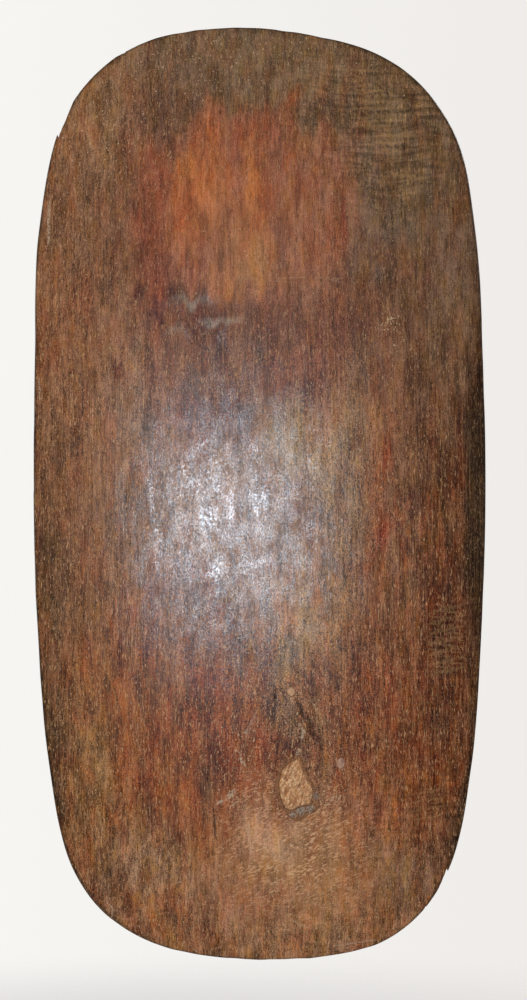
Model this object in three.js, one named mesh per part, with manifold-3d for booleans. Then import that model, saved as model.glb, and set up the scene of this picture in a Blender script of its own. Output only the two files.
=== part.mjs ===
// A tall, plain war shield hewn from one board.
//
// The board is a lopsided rounded oblong, bowed across and a little along its length, thinner at the rim than in
// the middle, with flats hewn along parts of its edge. Two pierced lugs stand on its hollow back, carved from the
// same wood. A tapered grip bar is driven up through both lugs and a wooden peg crosses each lug and the bar.
// The face has a dead knot, whose heart and bark ring sit loose in the knot hole, a small plug and a pin knot.
//
// Millimetres. The origin is the middle of the hand grip, +Z is up the board, and the face looks along -Y.
// A ring is a list of points that runs clockwise as the face is seen, with X to the right and Z up.

import * as THREE from "three";
import { mergeVertices } from "three/addons/utils/BufferGeometryUtils.js";
import Module from "manifold-3d";

const wasm = await Module();
wasm.setup();

// The board.
const boardHeight = 1300;
const boardWidth = 634;
const crossCrown = 46; // how far the side edges lie behind the middle of the face
const lengthCrown = 20; // how far the top and bottom edges lie behind it
const crossCrownPower = 2.3;
const lengthCrownPower = 2.4;
const centreThickness = 16;
const rimThickness = 14;
const rimEdgeRadius = 3;
const roundedWallShare = 0.4; // the most of the rim's thickness that one rounded edge may take

// The outline, from the right, in shares of half the width and half the height.
const outlineShares = [
  [1.0, 0.0], [0.984, -0.277], [0.937, -0.585], [0.823, -0.824], [0.53, -0.966],
  [0.0, -1.0], [-0.525, -0.955], [-0.818, -0.818], [-0.932, -0.582], [-0.984, -0.277],
  [-1.0, 0.0], [-0.996, 0.28], [-0.977, 0.568], [-0.855, 0.819], [-0.53, 0.966],
  [0.0, 0.998], [0.55, 0.936], [0.854, 0.783], [0.958, 0.557], [0.99, 0.268],
];

// Flats hewn along the edge of the face: the way each looks, in degrees above +X, its width and its slope.
const hewnFlats = [
  { bearing: 0, width: 25, slope: 0.24 },
  { bearing: -14, width: 20, slope: 0.24 },
  { bearing: -132, width: 15, slope: 0.22 },
  { bearing: -166, width: 16, slope: 0.2 },
];

// Splinters gone from the rim, deepest where they start. Starts and ends are shares of the way round the outline.
const rimChips = [
  { startShare: 0.1477, endShare: 0.1595, depth: 5 },
  { startShare: 0.169, endShare: 0.1725, depth: 2.5 },
  { startShare: 0.6395, endShare: 0.6575, depth: 5.5 },
  { startShare: 0.6925, endShare: 0.6865, depth: 2.5 },
];

// The grip bar tapers upwards, so it is driven in from below.
const handLength = 114; // clear length between the lugs
const fingerGap = 26; // between the bar and the board's back
const gripLowerRadius = 13.5;
const gripUpperRadius = 11;
const gripEndRound = 4;
const gripProud = 13; // how far the bar stands out past each lug
const seatClearance = 0.3;

// The lugs.
const lugThickness = 36;
const lugWidth = 50;
const lugFootFlare = 24; // how far the foot spreads all round
const lugWallBehindBar = 8;
const lugEdgeRadius = 5;
const lugInnerFlat = 4; // how much is chopped off to leave the side that faces the hand flat
const lugRootShare = 0.35; // how deep the lug's own solid reaches into the board's thickness
const lugCornerPower = 4;
const lugFlarePower = 3.2;

// The cross pegs taper from the head, on the right as the back is seen.
const pegHeadRadius = 5.2;
const pegTipRadius = 3.8;
const pegEndRound = 1.5;
const pegProud = 6;

// The dead knot, and the outlines of its hole and heart in shares of half its width and height, from the top.
const knotWidth = 61;
const knotHeight = 91;
const knotDepth = 9;
const knotPlaceShares = [0.167, -0.63]; // of half the board's width and height
const heartSink = 0.8; // how far the heart's broken face lies below the board's
const barkSink = 1.6;
const knotHoleShares = [
  [0.07, 1.0], [0.3, 0.68], [0.5, 0.35], [0.76, 0.05], [0.92, -0.22], [1.0, -0.5], [0.78, -0.7],
  [0.4, -0.86], [0.05, -1.0], [-0.34, -0.9], [-0.7, -0.58], [-0.94, -0.2], [-1.0, 0.14], [-0.84, 0.6],
  [-0.4, 0.88],
];
const knotHeartShares = [
  [0.05, 0.9], [0.17, 0.62], [0.38, 0.32], [0.63, 0.01], [0.66, -0.24], [0.54, -0.5], [0.28, -0.53],
  [-0.05, -0.62], [-0.44, -0.66], [-0.7, -0.45], [-0.84, -0.06], [-0.85, 0.18], [-0.7, 0.56],
  [-0.36, 0.78],
];

// Two smaller round pieces let into the face. Places are shares of half the board's width and height.
const smallPlug = { width: 12, height: 14, depth: 6, sink: 0.4, placeShares: [0.138, -0.423] };
const pinKnot = { width: 12, height: 16, depth: 6, sink: -0.5, placeShares: [0.356, -0.577] };
const plugSides = 16;

// How finely the surfaces are faceted.
const outlineSectors = 120;
const faceRingShares = [0.14, 0.29, 0.44, 0.58, 0.71, 0.83, 0.93];
const backRingShares = [0.92, 0.78, 0.6, 0.4, 0.2];
const rimBandShares = [1, 0.6, 0.3];
const knotSectors = 30;
const lugSides = 32;
const lugStepShares = [0, 0.09, 0.19, 0.31, 0.46, 0.68, 1];
const turnedSides = 24;
const roundSteps = 3;
const overrun = 20; // how far a cutter reaches past what it cuts

// Places that follow from these sizes.
const halfWidth = boardWidth / 2;
const halfHeight = boardHeight / 2;
const backMiddleY = -(gripLowerRadius + fingerGap);
const faceMiddleY = backMiddleY - centreThickness;
const lugInnerZ = handLength / 2;
const lugOuterZ = lugInnerZ + lugThickness;
const lugMiddleZ = (lugInnerZ + lugOuterZ) / 2;
const lugBackY = gripLowerRadius + lugWallBehindBar;
const gripEndZ = lugOuterZ + gripProud;

const finishes = {
  board: { color: 0x6f4a34, roughness: 0.45 },
  grip: { color: 0x5a3c28, roughness: 0.5 },
  peg: { color: 0x8a6a48, roughness: 0.6 },
  heart: { color: 0xbf935f, roughness: 0.9 },
  bark: { color: 0x6e665f, roughness: 0.85 },
  plug: { color: 0xb29470, roughness: 0.85 },
};

function piece(name, solid, finish) {
  const mesh = solid.getMesh();
  const geometry = new THREE.BufferGeometry();
  geometry.setAttribute("position", new THREE.BufferAttribute(mesh.vertProperties, 3));
  geometry.setIndex(new THREE.BufferAttribute(mesh.triVerts, 1));
  geometry.computeVertexNormals();
  const material = new THREE.MeshStandardMaterial({ ...finishes[finish], metalness: 0 });
  const result = new THREE.Mesh(geometry, material);
  result.name = name;
  return result;
}

// Turns a closed geometry into a solid.
function solidOf(geometry) {
  const bare = geometry.clone();
  bare.deleteAttribute("normal");
  bare.deleteAttribute("uv");
  const merged = mergeVertices(bare);
  return new wasm.Manifold(
    new wasm.Mesh({
      numProp: 3,
      vertProperties: merged.attributes.position.array,
      triVerts: new Uint32Array(merged.index.array),
    }),
  );
}

// Skins equal rings, from the one nearest the face to the one furthest back, and closes each end to a point.
function loft(rings, frontPoint, backPoint) {
  const sides = rings[0].length;
  const points = [frontPoint, ...rings.flat(), backPoint];
  const at = (ring, side) => 1 + ring * sides + (side % sides);
  const faces = [];
  for (let side = 0; side < sides; side += 1) {
    faces.push(0, at(0, side + 1), at(0, side));
    for (let ring = 0; ring + 1 < rings.length; ring += 1) {
      faces.push(at(ring, side), at(ring, side + 1), at(ring + 1, side));
      faces.push(at(ring, side + 1), at(ring + 1, side + 1), at(ring + 1, side));
    }
    faces.push(points.length - 1, at(rings.length - 1, side), at(rings.length - 1, side + 1));
  }
  const geometry = new THREE.BufferGeometry().setFromPoints(points);
  geometry.setIndex(faces);
  return solidOf(geometry);
}

// A closed smooth curve through points given as shares of two half sizes, in the plane of X and Z.
function closedCurve(shares, halfX, halfZ, middle = new THREE.Vector2()) {
  const points = shares.map(([x, z]) => new THREE.Vector3(middle.x + x * halfX, 0, middle.y + z * halfZ));
  return new THREE.CatmullRomCurve3(points, true, "catmullrom", 0.5);
}

// Equal steps round a closed curve, as a flat ring.
function ringOn(curve, steps) {
  return Array.from({ length: steps }, (_, i) => {
    const point = curve.getPoint(i / steps);
    return new THREE.Vector2(point.x, point.z);
  });
}

// A flat ring moved inwards, or outwards where the distance is negative.
function inset(ring, distance) {
  return ring.map((point, i) => {
    const run = ring[(i + 1) % ring.length].clone().sub(ring.at(i - 1)).normalize();
    return point.clone().addScaledVector(new THREE.Vector2(run.y, -run.x), distance);
  });
}

// Gives a flat ring its depth, from a function of X and Z.
function lift(ring, yAt) {
  return ring.map((point) => new THREE.Vector3(point.x, yAt(point.x, point.y), point.y));
}

// Steps of a quarter circle, as the share of the radius run along and risen.
function quarterSteps() {
  return Array.from({ length: roundSteps + 1 }, (_, i) => {
    const turn = (Math.PI / 2) * (i / roundSteps);
    return [Math.sin(turn), 1 - Math.cos(turn)];
  });
}

// A turned rod along +Z between two heights, tapering between two radii, with rounded ends.
function turnedRod(lowRadius, highRadius, lowZ, highZ, round) {
  const low = quarterSteps().map(([run, rise]) => [lowRadius - round * (1 - run), lowZ + round * rise]);
  const high = quarterSteps().map(([run, rise]) => [highRadius - round * (1 - run), highZ - round * rise]);
  const profile = [[0, lowZ], ...low, ...high.reverse(), [0, highZ]];
  const points = profile.map(([radius, z]) => new THREE.Vector2(radius, z));
  return new THREE.LatheGeometry(points, turnedSides).rotateX(Math.PI / 2);
}

// The same rod with square ends, made larger all round and longer at both ends, to cut its hole.
function rodHole(lowRadius, highRadius, lowZ, highZ) {
  const growth = (highRadius - lowRadius) / (highZ - lowZ);
  const lowEnd = lowRadius + seatClearance - growth * overrun;
  const highEnd = highRadius + seatClearance + growth * overrun;
  const profile = [[0, lowZ - overrun], [lowEnd, lowZ - overrun], [highEnd, highZ + overrun], [0, highZ + overrun]];
  const points = profile.map(([radius, z]) => new THREE.Vector2(radius, z));
  return new THREE.LatheGeometry(points, turnedSides).rotateX(Math.PI / 2);
}

const outline = closedCurve(outlineShares, halfWidth, halfHeight);
const outlineRing = ringOn(outline, outlineSectors);

// How far the bowed face has fallen behind its middle.
function crownAt(x, z) {
  const across = crossCrown * Math.abs(x / halfWidth) ** crossCrownPower;
  return across + lengthCrown * Math.abs(z / halfHeight) ** lengthCrownPower;
}

// The board thins with the square of the distance from its middle.
function thicknessAt(x, z) {
  const reach = Math.min(1, (x / halfWidth) ** 2 + (z / halfHeight) ** 2);
  return centreThickness + (rimThickness - centreThickness) * reach;
}

// Each flat starts its width inside the point of the outline that lies furthest in its direction.
const flatPlanes = hewnFlats.map(({ bearing, width, slope }) => {
  const angle = THREE.MathUtils.degToRad(bearing);
  const facing = new THREE.Vector2(Math.cos(angle), Math.sin(angle));
  const reach = Math.max(...outlineRing.map((point) => point.dot(facing)));
  return { facing, start: reach - width, slope };
});

function hewnFallAt(x, z) {
  const point = new THREE.Vector2(x, z);
  return Math.max(0, ...flatPlanes.map(({ facing, start, slope }) => (point.dot(facing) - start) * slope));
}

const faceYAt = (x, z) => faceMiddleY + crownAt(x, z) + hewnFallAt(x, z);
const backYAt = (x, z) => faceMiddleY + crownAt(x, z) + thicknessAt(x, z);

// One ring of the rim's rounded edge, on the face or on the back, at one step of the quarter circle.
function roundedEdgeRing([run, rise], onFace) {
  return outlineRing.map((point, i) => {
    const wall = backYAt(point.x, point.y) - faceYAt(point.x, point.y);
    const radius = Math.min(rimEdgeRadius, roundedWallShare * wall);
    const place = inset(outlineRing, radius * (1 - run))[i];
    const y = onFace ? faceYAt(place.x, place.y) + radius * rise : backYAt(place.x, place.y) - radius * rise;
    return new THREE.Vector3(place.x, y, place.y);
  });
}

// The board before anything is cut in it: face, rounded rim and hollow back in one skin.
function plainBoard() {
  const bandWidth = Math.max(...hewnFlats.map(({ width }) => width));
  const inner = inset(outlineRing, bandWidth);
  const shrunk = (share) => inner.map((point) => point.clone().multiplyScalar(share));
  const rings = [
    ...faceRingShares.map((share) => lift(shrunk(share), faceYAt)),
    ...rimBandShares.map((share) => lift(inset(outlineRing, bandWidth * share), faceYAt)),
    ...quarterSteps().map((step) => roundedEdgeRing(step, true)),
    ...quarterSteps().reverse().map((step) => roundedEdgeRing(step, false)),
    lift(inner, backYAt),
    ...backRingShares.map((share) => lift(shrunk(share), backYAt)),
  ];
  const middle = (yAt) => new THREE.Vector3(0, yAt(0, 0), 0);
  return loft(rings, middle(faceYAt), middle(backYAt));
}

// A lug, as a square-shouldered pier that flares into the board, with the side that faces the hand chopped flat.
function lug(middleZ) {
  const rootY = backYAt(0, middleZ) - lugRootShare * centreThickness;
  const shoulderY = lugBackY - lugEdgeRadius;
  const section = (y, trim) => {
    const flare = lugFootFlare * (1 - (y - rootY) / (lugBackY - rootY)) ** lugFlarePower;
    const halfX = lugWidth / 2 + flare - trim;
    const halfZ = (lugThickness + lugInnerFlat) / 2 + flare - trim;
    const shift = (Math.sign(middleZ) * lugInnerFlat) / 2;
    return Array.from({ length: lugSides }, (_, i) => {
      const turn = (2 * Math.PI * i) / lugSides;
      const corner = (value) => Math.sign(value) * Math.abs(value) ** (2 / lugCornerPower);
      return new THREE.Vector3(halfX * corner(Math.cos(turn)), y, middleZ - shift - halfZ * corner(Math.sin(turn)));
    });
  };
  const rings = [
    ...lugStepShares.map((share) => section(rootY + (shoulderY - rootY) * share, 0)),
    ...quarterSteps().slice(0, -1).reverse()
      .map(([run, rise]) => section(lugBackY - lugEdgeRadius * rise, lugEdgeRadius * (1 - run))),
  ];
  const pier = loft(rings, new THREE.Vector3(0, rootY, middleZ), new THREE.Vector3(0, lugBackY, middleZ));
  const handSpace = new THREE.BoxGeometry(boardWidth, boardWidth, handLength);
  return pier.subtract(solidOf(handSpace));
}

// A splinter's hole, cut right through the rim: a thin wedge from its deep start to its end on the outline.
function chipCutter({ startShare, endShare, depth }) {
  const onOutline = (share) => {
    const point = outline.getPoint(share);
    return new THREE.Vector2(point.x, point.z);
  };
  const [start, end] = [onOutline(startShare), onOutline(endShare)];
  const outward = start.clone().normalize();
  const corners = [
    start.clone().addScaledVector(outward, overrun),
    start.clone().addScaledVector(outward, -depth),
    end,
    end.clone().addScaledVector(outward, overrun),
  ];
  const reach = lugBackY - faceMiddleY + 2 * overrun;
  const geometry = new THREE.ExtrudeGeometry(new THREE.Shape(corners), { depth: reach, bevelEnabled: false });
  return solidOf(geometry.rotateX(Math.PI / 2).translate(0, lugBackY + overrun, 0));
}

// A solid that follows the face, between two depths under it, inside a flat ring.
function underFace(ring, fromDepth, toDepth) {
  const middle = ring.reduce((sum, point) => sum.add(point), new THREE.Vector2()).divideScalar(ring.length);
  const [front] = lift([middle], (x, z) => faceYAt(x, z) + fromDepth);
  const [back] = lift([middle], (x, z) => faceYAt(x, z) + toDepth);
  const rings = [fromDepth, toDepth].map((depth) => lift(ring, (x, z) => faceYAt(x, z) + depth));
  return loft(rings, front, back);
}

const onFace = ([x, z]) => new THREE.Vector2(x * halfWidth, z * halfHeight);

// The knot hole and what sits in it.
const knotRing = (shares) =>
  ringOn(closedCurve(shares, knotWidth / 2, knotHeight / 2, onFace(knotPlaceShares)), knotSectors);
const knotHole = underFace(knotRing(knotHoleShares), -overrun, knotDepth);

function knotHeart(grown, sink) {
  return underFace(inset(knotRing(knotHeartShares), -grown), sink, knotDepth - seatClearance + grown);
}

function knotBark() {
  const ring = inset(knotRing(knotHoleShares), seatClearance);
  return underFace(ring, barkSink, knotDepth - seatClearance).subtract(knotHeart(seatClearance, -overrun));
}

// A small round piece let into the face, and its hole.
function roundRing({ width, height, placeShares }) {
  const middle = onFace(placeShares);
  return Array.from({ length: plugSides }, (_, i) => {
    const turn = (-2 * Math.PI * i) / plugSides;
    return new THREE.Vector2(middle.x + (width / 2) * Math.cos(turn), middle.y + (height / 2) * Math.sin(turn));
  });
}

const roundHole = (plug) => underFace(roundRing(plug), -overrun, plug.depth);
const roundPlug = (plug) =>
  underFace(inset(roundRing(plug), seatClearance), plug.sink, plug.depth - seatClearance);

// The grip bar and the pegs. A peg lies along X, through the middle of a lug.
const gripHole = solidOf(rodHole(gripLowerRadius, gripUpperRadius, -gripEndZ, gripEndZ));
const pegEndX = lugWidth / 2 + pegProud;
const alongX = (geometry, middleZ) => solidOf(geometry.rotateY(Math.PI / 2).translate(0, 0, middleZ));
const pegHole = (middleZ) => alongX(rodHole(pegHeadRadius, pegTipRadius, -pegEndX, pegEndX), middleZ);
const peg = (middleZ) => alongX(turnedRod(pegHeadRadius, pegTipRadius, -pegEndX, pegEndX, pegEndRound), middleZ);

function gripBar() {
  const bar = turnedRod(gripLowerRadius, gripUpperRadius, -gripEndZ, gripEndZ, gripEndRound);
  return solidOf(bar).subtract(pegHole(lugMiddleZ)).subtract(pegHole(-lugMiddleZ));
}

function board() {
  const whole = plainBoard().add(lug(lugMiddleZ)).add(lug(-lugMiddleZ));
  const cutters = [
    gripHole,
    pegHole(lugMiddleZ),
    pegHole(-lugMiddleZ),
    knotHole,
    roundHole(smallPlug),
    roundHole(pinKnot),
    ...rimChips.map(chipCutter),
  ];
  return cutters.reduce((solid, cutter) => solid.subtract(cutter), whole);
}

const shield = new THREE.Group();
shield.add(
  piece("board", board(), "board"),
  piece("grip_bar", gripBar(), "grip"),
  piece("upper_grip_peg", peg(lugMiddleZ), "peg"),
  piece("lower_grip_peg", peg(-lugMiddleZ), "peg"),
  piece("knot_heart", knotHeart(0, heartSink), "heart"),
  piece("knot_bark", knotBark(), "bark"),
  piece("small_knot_plug", roundPlug(smallPlug), "plug"),
  piece("pin_knot", roundPlug(pinKnot), "heart"),
);

export default shield;
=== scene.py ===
"""The looks of a tall war shield hewn from one board.

The board is one skin over its bowed face, rounded rim and adzed back, with the grip lugs joined to it and
the holes, chips and cracks cut in it. Its colour, wear and marks are painted on the skin's points by
stains and strokes, and the wood's own grain is added by its material. The knot, the plugs, the
grip bar and the pegs are pieces of their own.

Shapes are worked out in millimetres, with +X to the right as the face is seen, +Z up and the face towards -Y.
Part of the painted colour is painted light: painted shade along the rim, where the edges turn away and in the
back's adze bites, a painted shadow round the knot's hole, a few painted glints, and the painted highlight and
shade on the knot's heart and on the worn dashes.
"""

import bpy
import numpy as np
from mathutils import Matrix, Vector


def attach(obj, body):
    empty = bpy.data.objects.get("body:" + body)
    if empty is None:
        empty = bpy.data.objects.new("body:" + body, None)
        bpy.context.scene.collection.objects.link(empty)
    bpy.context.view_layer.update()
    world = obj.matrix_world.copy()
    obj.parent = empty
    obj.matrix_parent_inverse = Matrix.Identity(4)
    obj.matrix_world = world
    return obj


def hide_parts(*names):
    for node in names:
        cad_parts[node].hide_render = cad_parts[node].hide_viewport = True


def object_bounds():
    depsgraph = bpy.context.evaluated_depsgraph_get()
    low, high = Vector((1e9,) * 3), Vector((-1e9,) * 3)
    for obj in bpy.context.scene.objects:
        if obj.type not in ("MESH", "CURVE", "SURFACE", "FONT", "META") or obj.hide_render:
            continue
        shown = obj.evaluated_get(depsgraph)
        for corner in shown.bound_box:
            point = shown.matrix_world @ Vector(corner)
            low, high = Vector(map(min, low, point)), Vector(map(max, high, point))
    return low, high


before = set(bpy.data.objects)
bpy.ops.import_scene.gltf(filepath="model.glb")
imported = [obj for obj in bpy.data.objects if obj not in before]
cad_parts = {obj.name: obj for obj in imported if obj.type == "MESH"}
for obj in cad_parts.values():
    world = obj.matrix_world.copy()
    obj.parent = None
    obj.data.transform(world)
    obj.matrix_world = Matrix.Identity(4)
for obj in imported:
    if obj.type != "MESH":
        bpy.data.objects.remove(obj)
cad_box = [list(corner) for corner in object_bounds()]

MM = 0.001  # metres in a millimetre

# The board, as its solid has it.
HALF_WIDTH, HALF_HEIGHT = 317.0, 650.0
FACE_MIDDLE_Y = cad_box[0][1] / MM
CENTRE_THICKNESS, RIM_THICKNESS = 16.0, 14.0
CROSS_CROWN, CROSS_POWER = 46.0, 2.3
LENGTH_CROWN, LENGTH_POWER = 20.0, 2.4
RIM_RADIUS = 3.0
ROUNDED_WALL_SHARE = 0.4  # the most of the rim's thickness that one rounding takes
EDGE_RUN = 480.0  # millimetres of the outline to a radian, near enough for its dents
OUTLINE_SHARES = [
    [1.0, 0.0], [0.984, -0.277], [0.937, -0.585], [0.823, -0.824], [0.53, -0.966],
    [0.0, -1.0], [-0.525, -0.955], [-0.818, -0.818], [-0.932, -0.582], [-0.984, -0.277],
    [-1.0, 0.0], [-0.996, 0.28], [-0.977, 0.568], [-0.855, 0.819], [-0.53, 0.966],
    [0.0, 0.998], [0.55, 0.936], [0.854, 0.783], [0.958, 0.557], [0.99, 0.268],
]
# Flats hewn along the edge: the way each looks in degrees above +X, its width and its slope.
HEWN_FLATS = [(0, 25, 0.24), (-14, 20, 0.24), (-132, 15, 0.22), (-166, 16, 0.2)]
# Splinters gone from the rim: start and end as shares of the way round, and the depth at the start.
RIM_CHIPS = [(0.1477, 0.1595, 5.0), (0.169, 0.1725, 2.5), (0.6395, 0.6575, 5.5), (0.6925, 0.6865, 2.5)]

# The grip.
GRIP_LOWER_RADIUS, GRIP_UPPER_RADIUS, GRIP_END_Z, GRIP_END_ROUND = 13.5, 11.0, 106.0, 4.0
PEG_HEAD_RADIUS, PEG_TIP_RADIUS, PEG_END_X, PEG_END_ROUND = 5.2, 3.8, 31.0, 1.5
SEAT_CLEARANCE = 0.3
LUG_INNER_Z, LUG_THICKNESS, LUG_WIDTH, LUG_FLARE = 57.0, 36.0, 50.0, 24.0
LUG_BACK_Y, LUG_EDGE_RADIUS, LUG_ROOT_DEPTH, LUG_INNER_FLAT = 21.5, 5.0, 5.6, 4.0
LUG_CORNER_POWER, LUG_FLARE_POWER, LUG_CHOP_SOFTNESS = 4.0, 3.2, 2.5
LUG_MIDDLE_Z = LUG_INNER_Z + LUG_THICKNESS / 2

# The knot, and the outlines of its hole and heart in shares of half its width and height.
KNOT_HALF_WIDTH, KNOT_HALF_HEIGHT, KNOT_DEPTH = 30.5, 45.5, 9.0
KNOT_X, KNOT_Z = 0.167 * HALF_WIDTH, -0.63 * HALF_HEIGHT
KNOT_HOLE_SHARES = [
    [0.07, 1.0], [0.3, 0.68], [0.5, 0.35], [0.76, 0.05], [0.92, -0.22], [1.0, -0.5], [0.78, -0.7],
    [0.4, -0.86], [0.05, -1.0], [-0.34, -0.9], [-0.7, -0.58], [-0.94, -0.2], [-1.0, 0.14], [-0.84, 0.6],
    [-0.4, 0.88],
]
KNOT_HEART_SHARES = [
    [0.05, 0.9], [0.17, 0.62], [0.38, 0.32], [0.63, 0.01], [0.66, -0.24], [0.54, -0.5], [0.28, -0.53],
    [-0.05, -0.62], [-0.44, -0.66], [-0.7, -0.45], [-0.84, -0.06], [-0.85, 0.18], [-0.7, 0.56],
    [-0.36, 0.78],
]
HEART_SINK, BARK_SINK, LEAST_SINK = 1.4, 0.8, 0.1
# How the grain parts round the knot: how far it is pushed, how softly, and how much taller than wide.
GRAIN_PUSH, GRAIN_SOFTNESS, GRAIN_TALLNESS = 30.0, 35.0, 1.9
SMALL_PLUG = {"half": (6.0, 7.0), "depth": 6.0, "sink": 0.4, "place": (0.138, -0.423)}
PIN_KNOT = {"half": (6.0, 8.0), "depth": 6.0, "sink": -0.5, "place": (0.356, -0.577)}

# How fine the board's skin is. Its rows and columns crowd round the knot.
FACE_COLUMNS, FACE_ROWS = 252, 236
CROWDING_X = (0.16, 0.16, 0.9)  # middle, width and strength
CROWDING_Z = (-0.62, 0.2, 0.9)
FINE_STEPS = 4001  # how finely the crowding is summed
ROUND_STEPS = 4  # rings on each half of the rounded rim
LATTICE = 256  # random values to a side of each noise's lattice, after which it repeats
CUTTER_OVERRUN = 20.0  # how far a cutter passes beyond what it cuts
CUTTER_TOP = -6.0  # how deep under the face the knots' cutters start, and so 6 mm above it


def linear(hex_colour):
    """An sRGB hex colour as the linear red, green and blue that Blender mixes."""
    channels = np.array([int(hex_colour[i:i + 2], 16) for i in (1, 3, 5)]) / 255
    return np.where(channels <= 0.04045, channels / 12.92, ((channels + 0.055) / 1.055) ** 2.4)


def ease(low, high, value):
    """Nought below one end, one above the other, and 3t^2 - 2t^3 between them."""
    t = np.clip((value - low) / (high - low), 0, 1)
    return t * t * (3 - 2 * t)


def noise(x, z, across, along, seed):
    """Smooth noise from -1 to 1: random values on a lattice with one step across the grain and one along it,
    blended between the four nearest with 3t^2 - 2t^3."""
    values = np.random.default_rng(seed).uniform(-1, 1, (LATTICE, LATTICE))
    column, row = x / across, z / along
    left, low = np.floor(column).astype(int), np.floor(row).astype(int)
    u, v = ease(0, 1, column - left), ease(0, 1, row - low)
    corner = [[values[(left + i) % LATTICE, (low + j) % LATTICE] for j in (0, 1)] for i in (0, 1)]
    bottom = corner[0][0] * (1 - u) + corner[1][0] * u
    top = corner[0][1] * (1 - u) + corner[1][1] * u
    return bottom * (1 - v) + top * v


def layered(x, z, rows, start=0.0):
    """Noises added to a start. Each row has a strength, a size across the grain and along it, and a seed."""
    return sum((strength * noise(x, z, across, along, seed) for strength, across, along, seed in rows), start)


def wander(way, step, seed):
    """Smooth noise from -1 to 1 along a line, with one lattice point to a step."""
    return noise(way, way * 0, step, 1, seed)


def turns(count):
    """Even turns once round, from nought."""
    return 2 * np.pi * np.arange(count) / count


def bowls(x, z, across, along, seed):
    """How deep a blade has bitten, from 0 to 1: the deepest of many shallow bowls, one near each lattice
    point, each falling off with the square of the distance from its middle."""
    chance = np.random.default_rng(seed).uniform(0, 1, (3, LATTICE, LATTICE))
    column, row = np.floor(x / across).astype(int), np.floor(z / along).astype(int)
    deepest = np.zeros(np.shape(x))
    for i in (-1, 0, 1):
        for j in (-1, 0, 1):
            shift_x, shift_z, depth = chance[:, (column + i) % LATTICE, (row + j) % LATTICE]
            off_x = x / across - (column + i + shift_x)
            off_z = z / along - (row + j + shift_z)
            bite = 0.5 + 0.5 * depth - 0.8 * (off_x ** 2 + off_z ** 2)
            deepest = np.maximum(deepest, bite)
    return deepest


def closed_curve(shares, steps):
    """A closed Catmull-Rom curve: each span is the cubic that leaves its ends along half the chord between
    their neighbours."""
    points = np.asarray(shares, float)
    before, start, end, after = (np.roll(points, k, axis=0)[:, None] for k in (1, 0, -1, -2))
    t = np.linspace(0, 1, steps, endpoint=False)[None, :, None]
    span = (
        2 * start
        + (end - before) * t
        + (2 * before - 5 * start + 4 * end - after) * t ** 2
        + (3 * start - before - 3 * end + after) * t ** 3
    ) / 2
    return span.reshape(-1, 2)


def reach_round(shares, steps=60):
    """A closed curve as its reach from the middle at each turn, in order of the turn."""
    curve = closed_curve(shares, steps)
    turn = np.arctan2(curve[:, 1], curve[:, 0])
    order = np.argsort(turn)
    return turn[order], np.hypot(curve[:, 0], curve[:, 1])[order]


def reach_at(turn, curve):
    """How far a curve reaches from its middle at a turn."""
    return np.interp(turn, curve[0], curve[1], period=2 * np.pi)


BOARD_CURVE = reach_round(OUTLINE_SHARES)
KNOT_HOLE_CURVE = reach_round(KNOT_HOLE_SHARES)
KNOT_HEART_CURVE = reach_round(KNOT_HEART_SHARES)


def edge_wear(turn):
    """How far use has worn the outline inwards at a turn, in millimetres: slow waves with small dents."""
    way = (turn + np.pi) * EDGE_RUN
    return 0.55 + 0.35 * wander(way, 120, 11) + 0.25 * wander(way, 26, 12)


def on_board(a, b, inset=0.0):
    """Carries a square from -1 to 1 onto the board. A point keeps its direction, and moves by the outline's
    reach over the square's there, in step with the square of how far out it lies."""
    out = np.maximum(np.abs(a), np.abs(b))
    turn = np.arctan2(b, a)
    worn = edge_wear(turn) / HALF_WIDTH
    square = 1 / np.maximum(np.abs(np.cos(turn)), np.abs(np.sin(turn)))
    grow = 1 + ((reach_at(turn, BOARD_CURVE) - worn) / square - 1) * out ** 2
    return a * grow * (HALF_WIDTH - inset), b * grow * (HALF_HEIGHT - inset)


def from_rim(x, z):
    """How far inside the outline a place lies, in millimetres, along the line to the board's middle."""
    turn = np.arctan2(z / HALF_HEIGHT, x / HALF_WIDTH)
    out = np.hypot(x / HALF_WIDTH, z / HALF_HEIGHT) / reach_at(turn, BOARD_CURVE)
    return (1 - out) * np.hypot(x, z) / np.maximum(out, 0.05)


def hewn_fall(x, z):
    """How far the flats along the edge have been hewn back: the deepest of their sloping planes."""
    outline = closed_curve(OUTLINE_SHARES, 6) * (HALF_WIDTH, HALF_HEIGHT)
    fall = np.zeros(np.shape(x))
    for bearing, width, slope in HEWN_FLATS:
        facing = np.array([np.cos(np.radians(bearing)), np.sin(np.radians(bearing))])
        start = (outline @ facing).max() - width
        fall = np.maximum(fall, (x * facing[0] + z * facing[1] - start) * slope)
    return fall


def bowed_y(x, z):
    """The bow: the face falls back with a power of the distance from its middle, across and along."""
    across = CROSS_CROWN * np.abs(x / HALF_WIDTH) ** CROSS_POWER
    return FACE_MIDDLE_Y + across + LENGTH_CROWN * np.abs(z / HALF_HEIGHT) ** LENGTH_POWER


def back_y(x, z):
    """The back follows the bow, and the board thins with the square of the distance from its middle."""
    reach = np.minimum(1, (x / HALF_WIDTH) ** 2 + (z / HALF_HEIGHT) ** 2)
    return bowed_y(x, z) + CENTRE_THICKNESS + (RIM_THICKNESS - CENTRE_THICKNESS) * reach


def near_knot(x, z, spread):
    """One at the knot's middle, falling smoothly to nought at a number of times its size."""
    away = np.hypot((x - KNOT_X) / KNOT_HALF_WIDTH, (z - KNOT_Z) / KNOT_HALF_HEIGHT)
    return 1 - ease(0.6, spread, away)


# How the grain wanders across and along.
GRAIN_SWAY, GRAIN_SHIFT = [(5, 110, 330, 21), (1.6, 36, 120, 22)], [(6, 60, 80, 23)]


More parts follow.
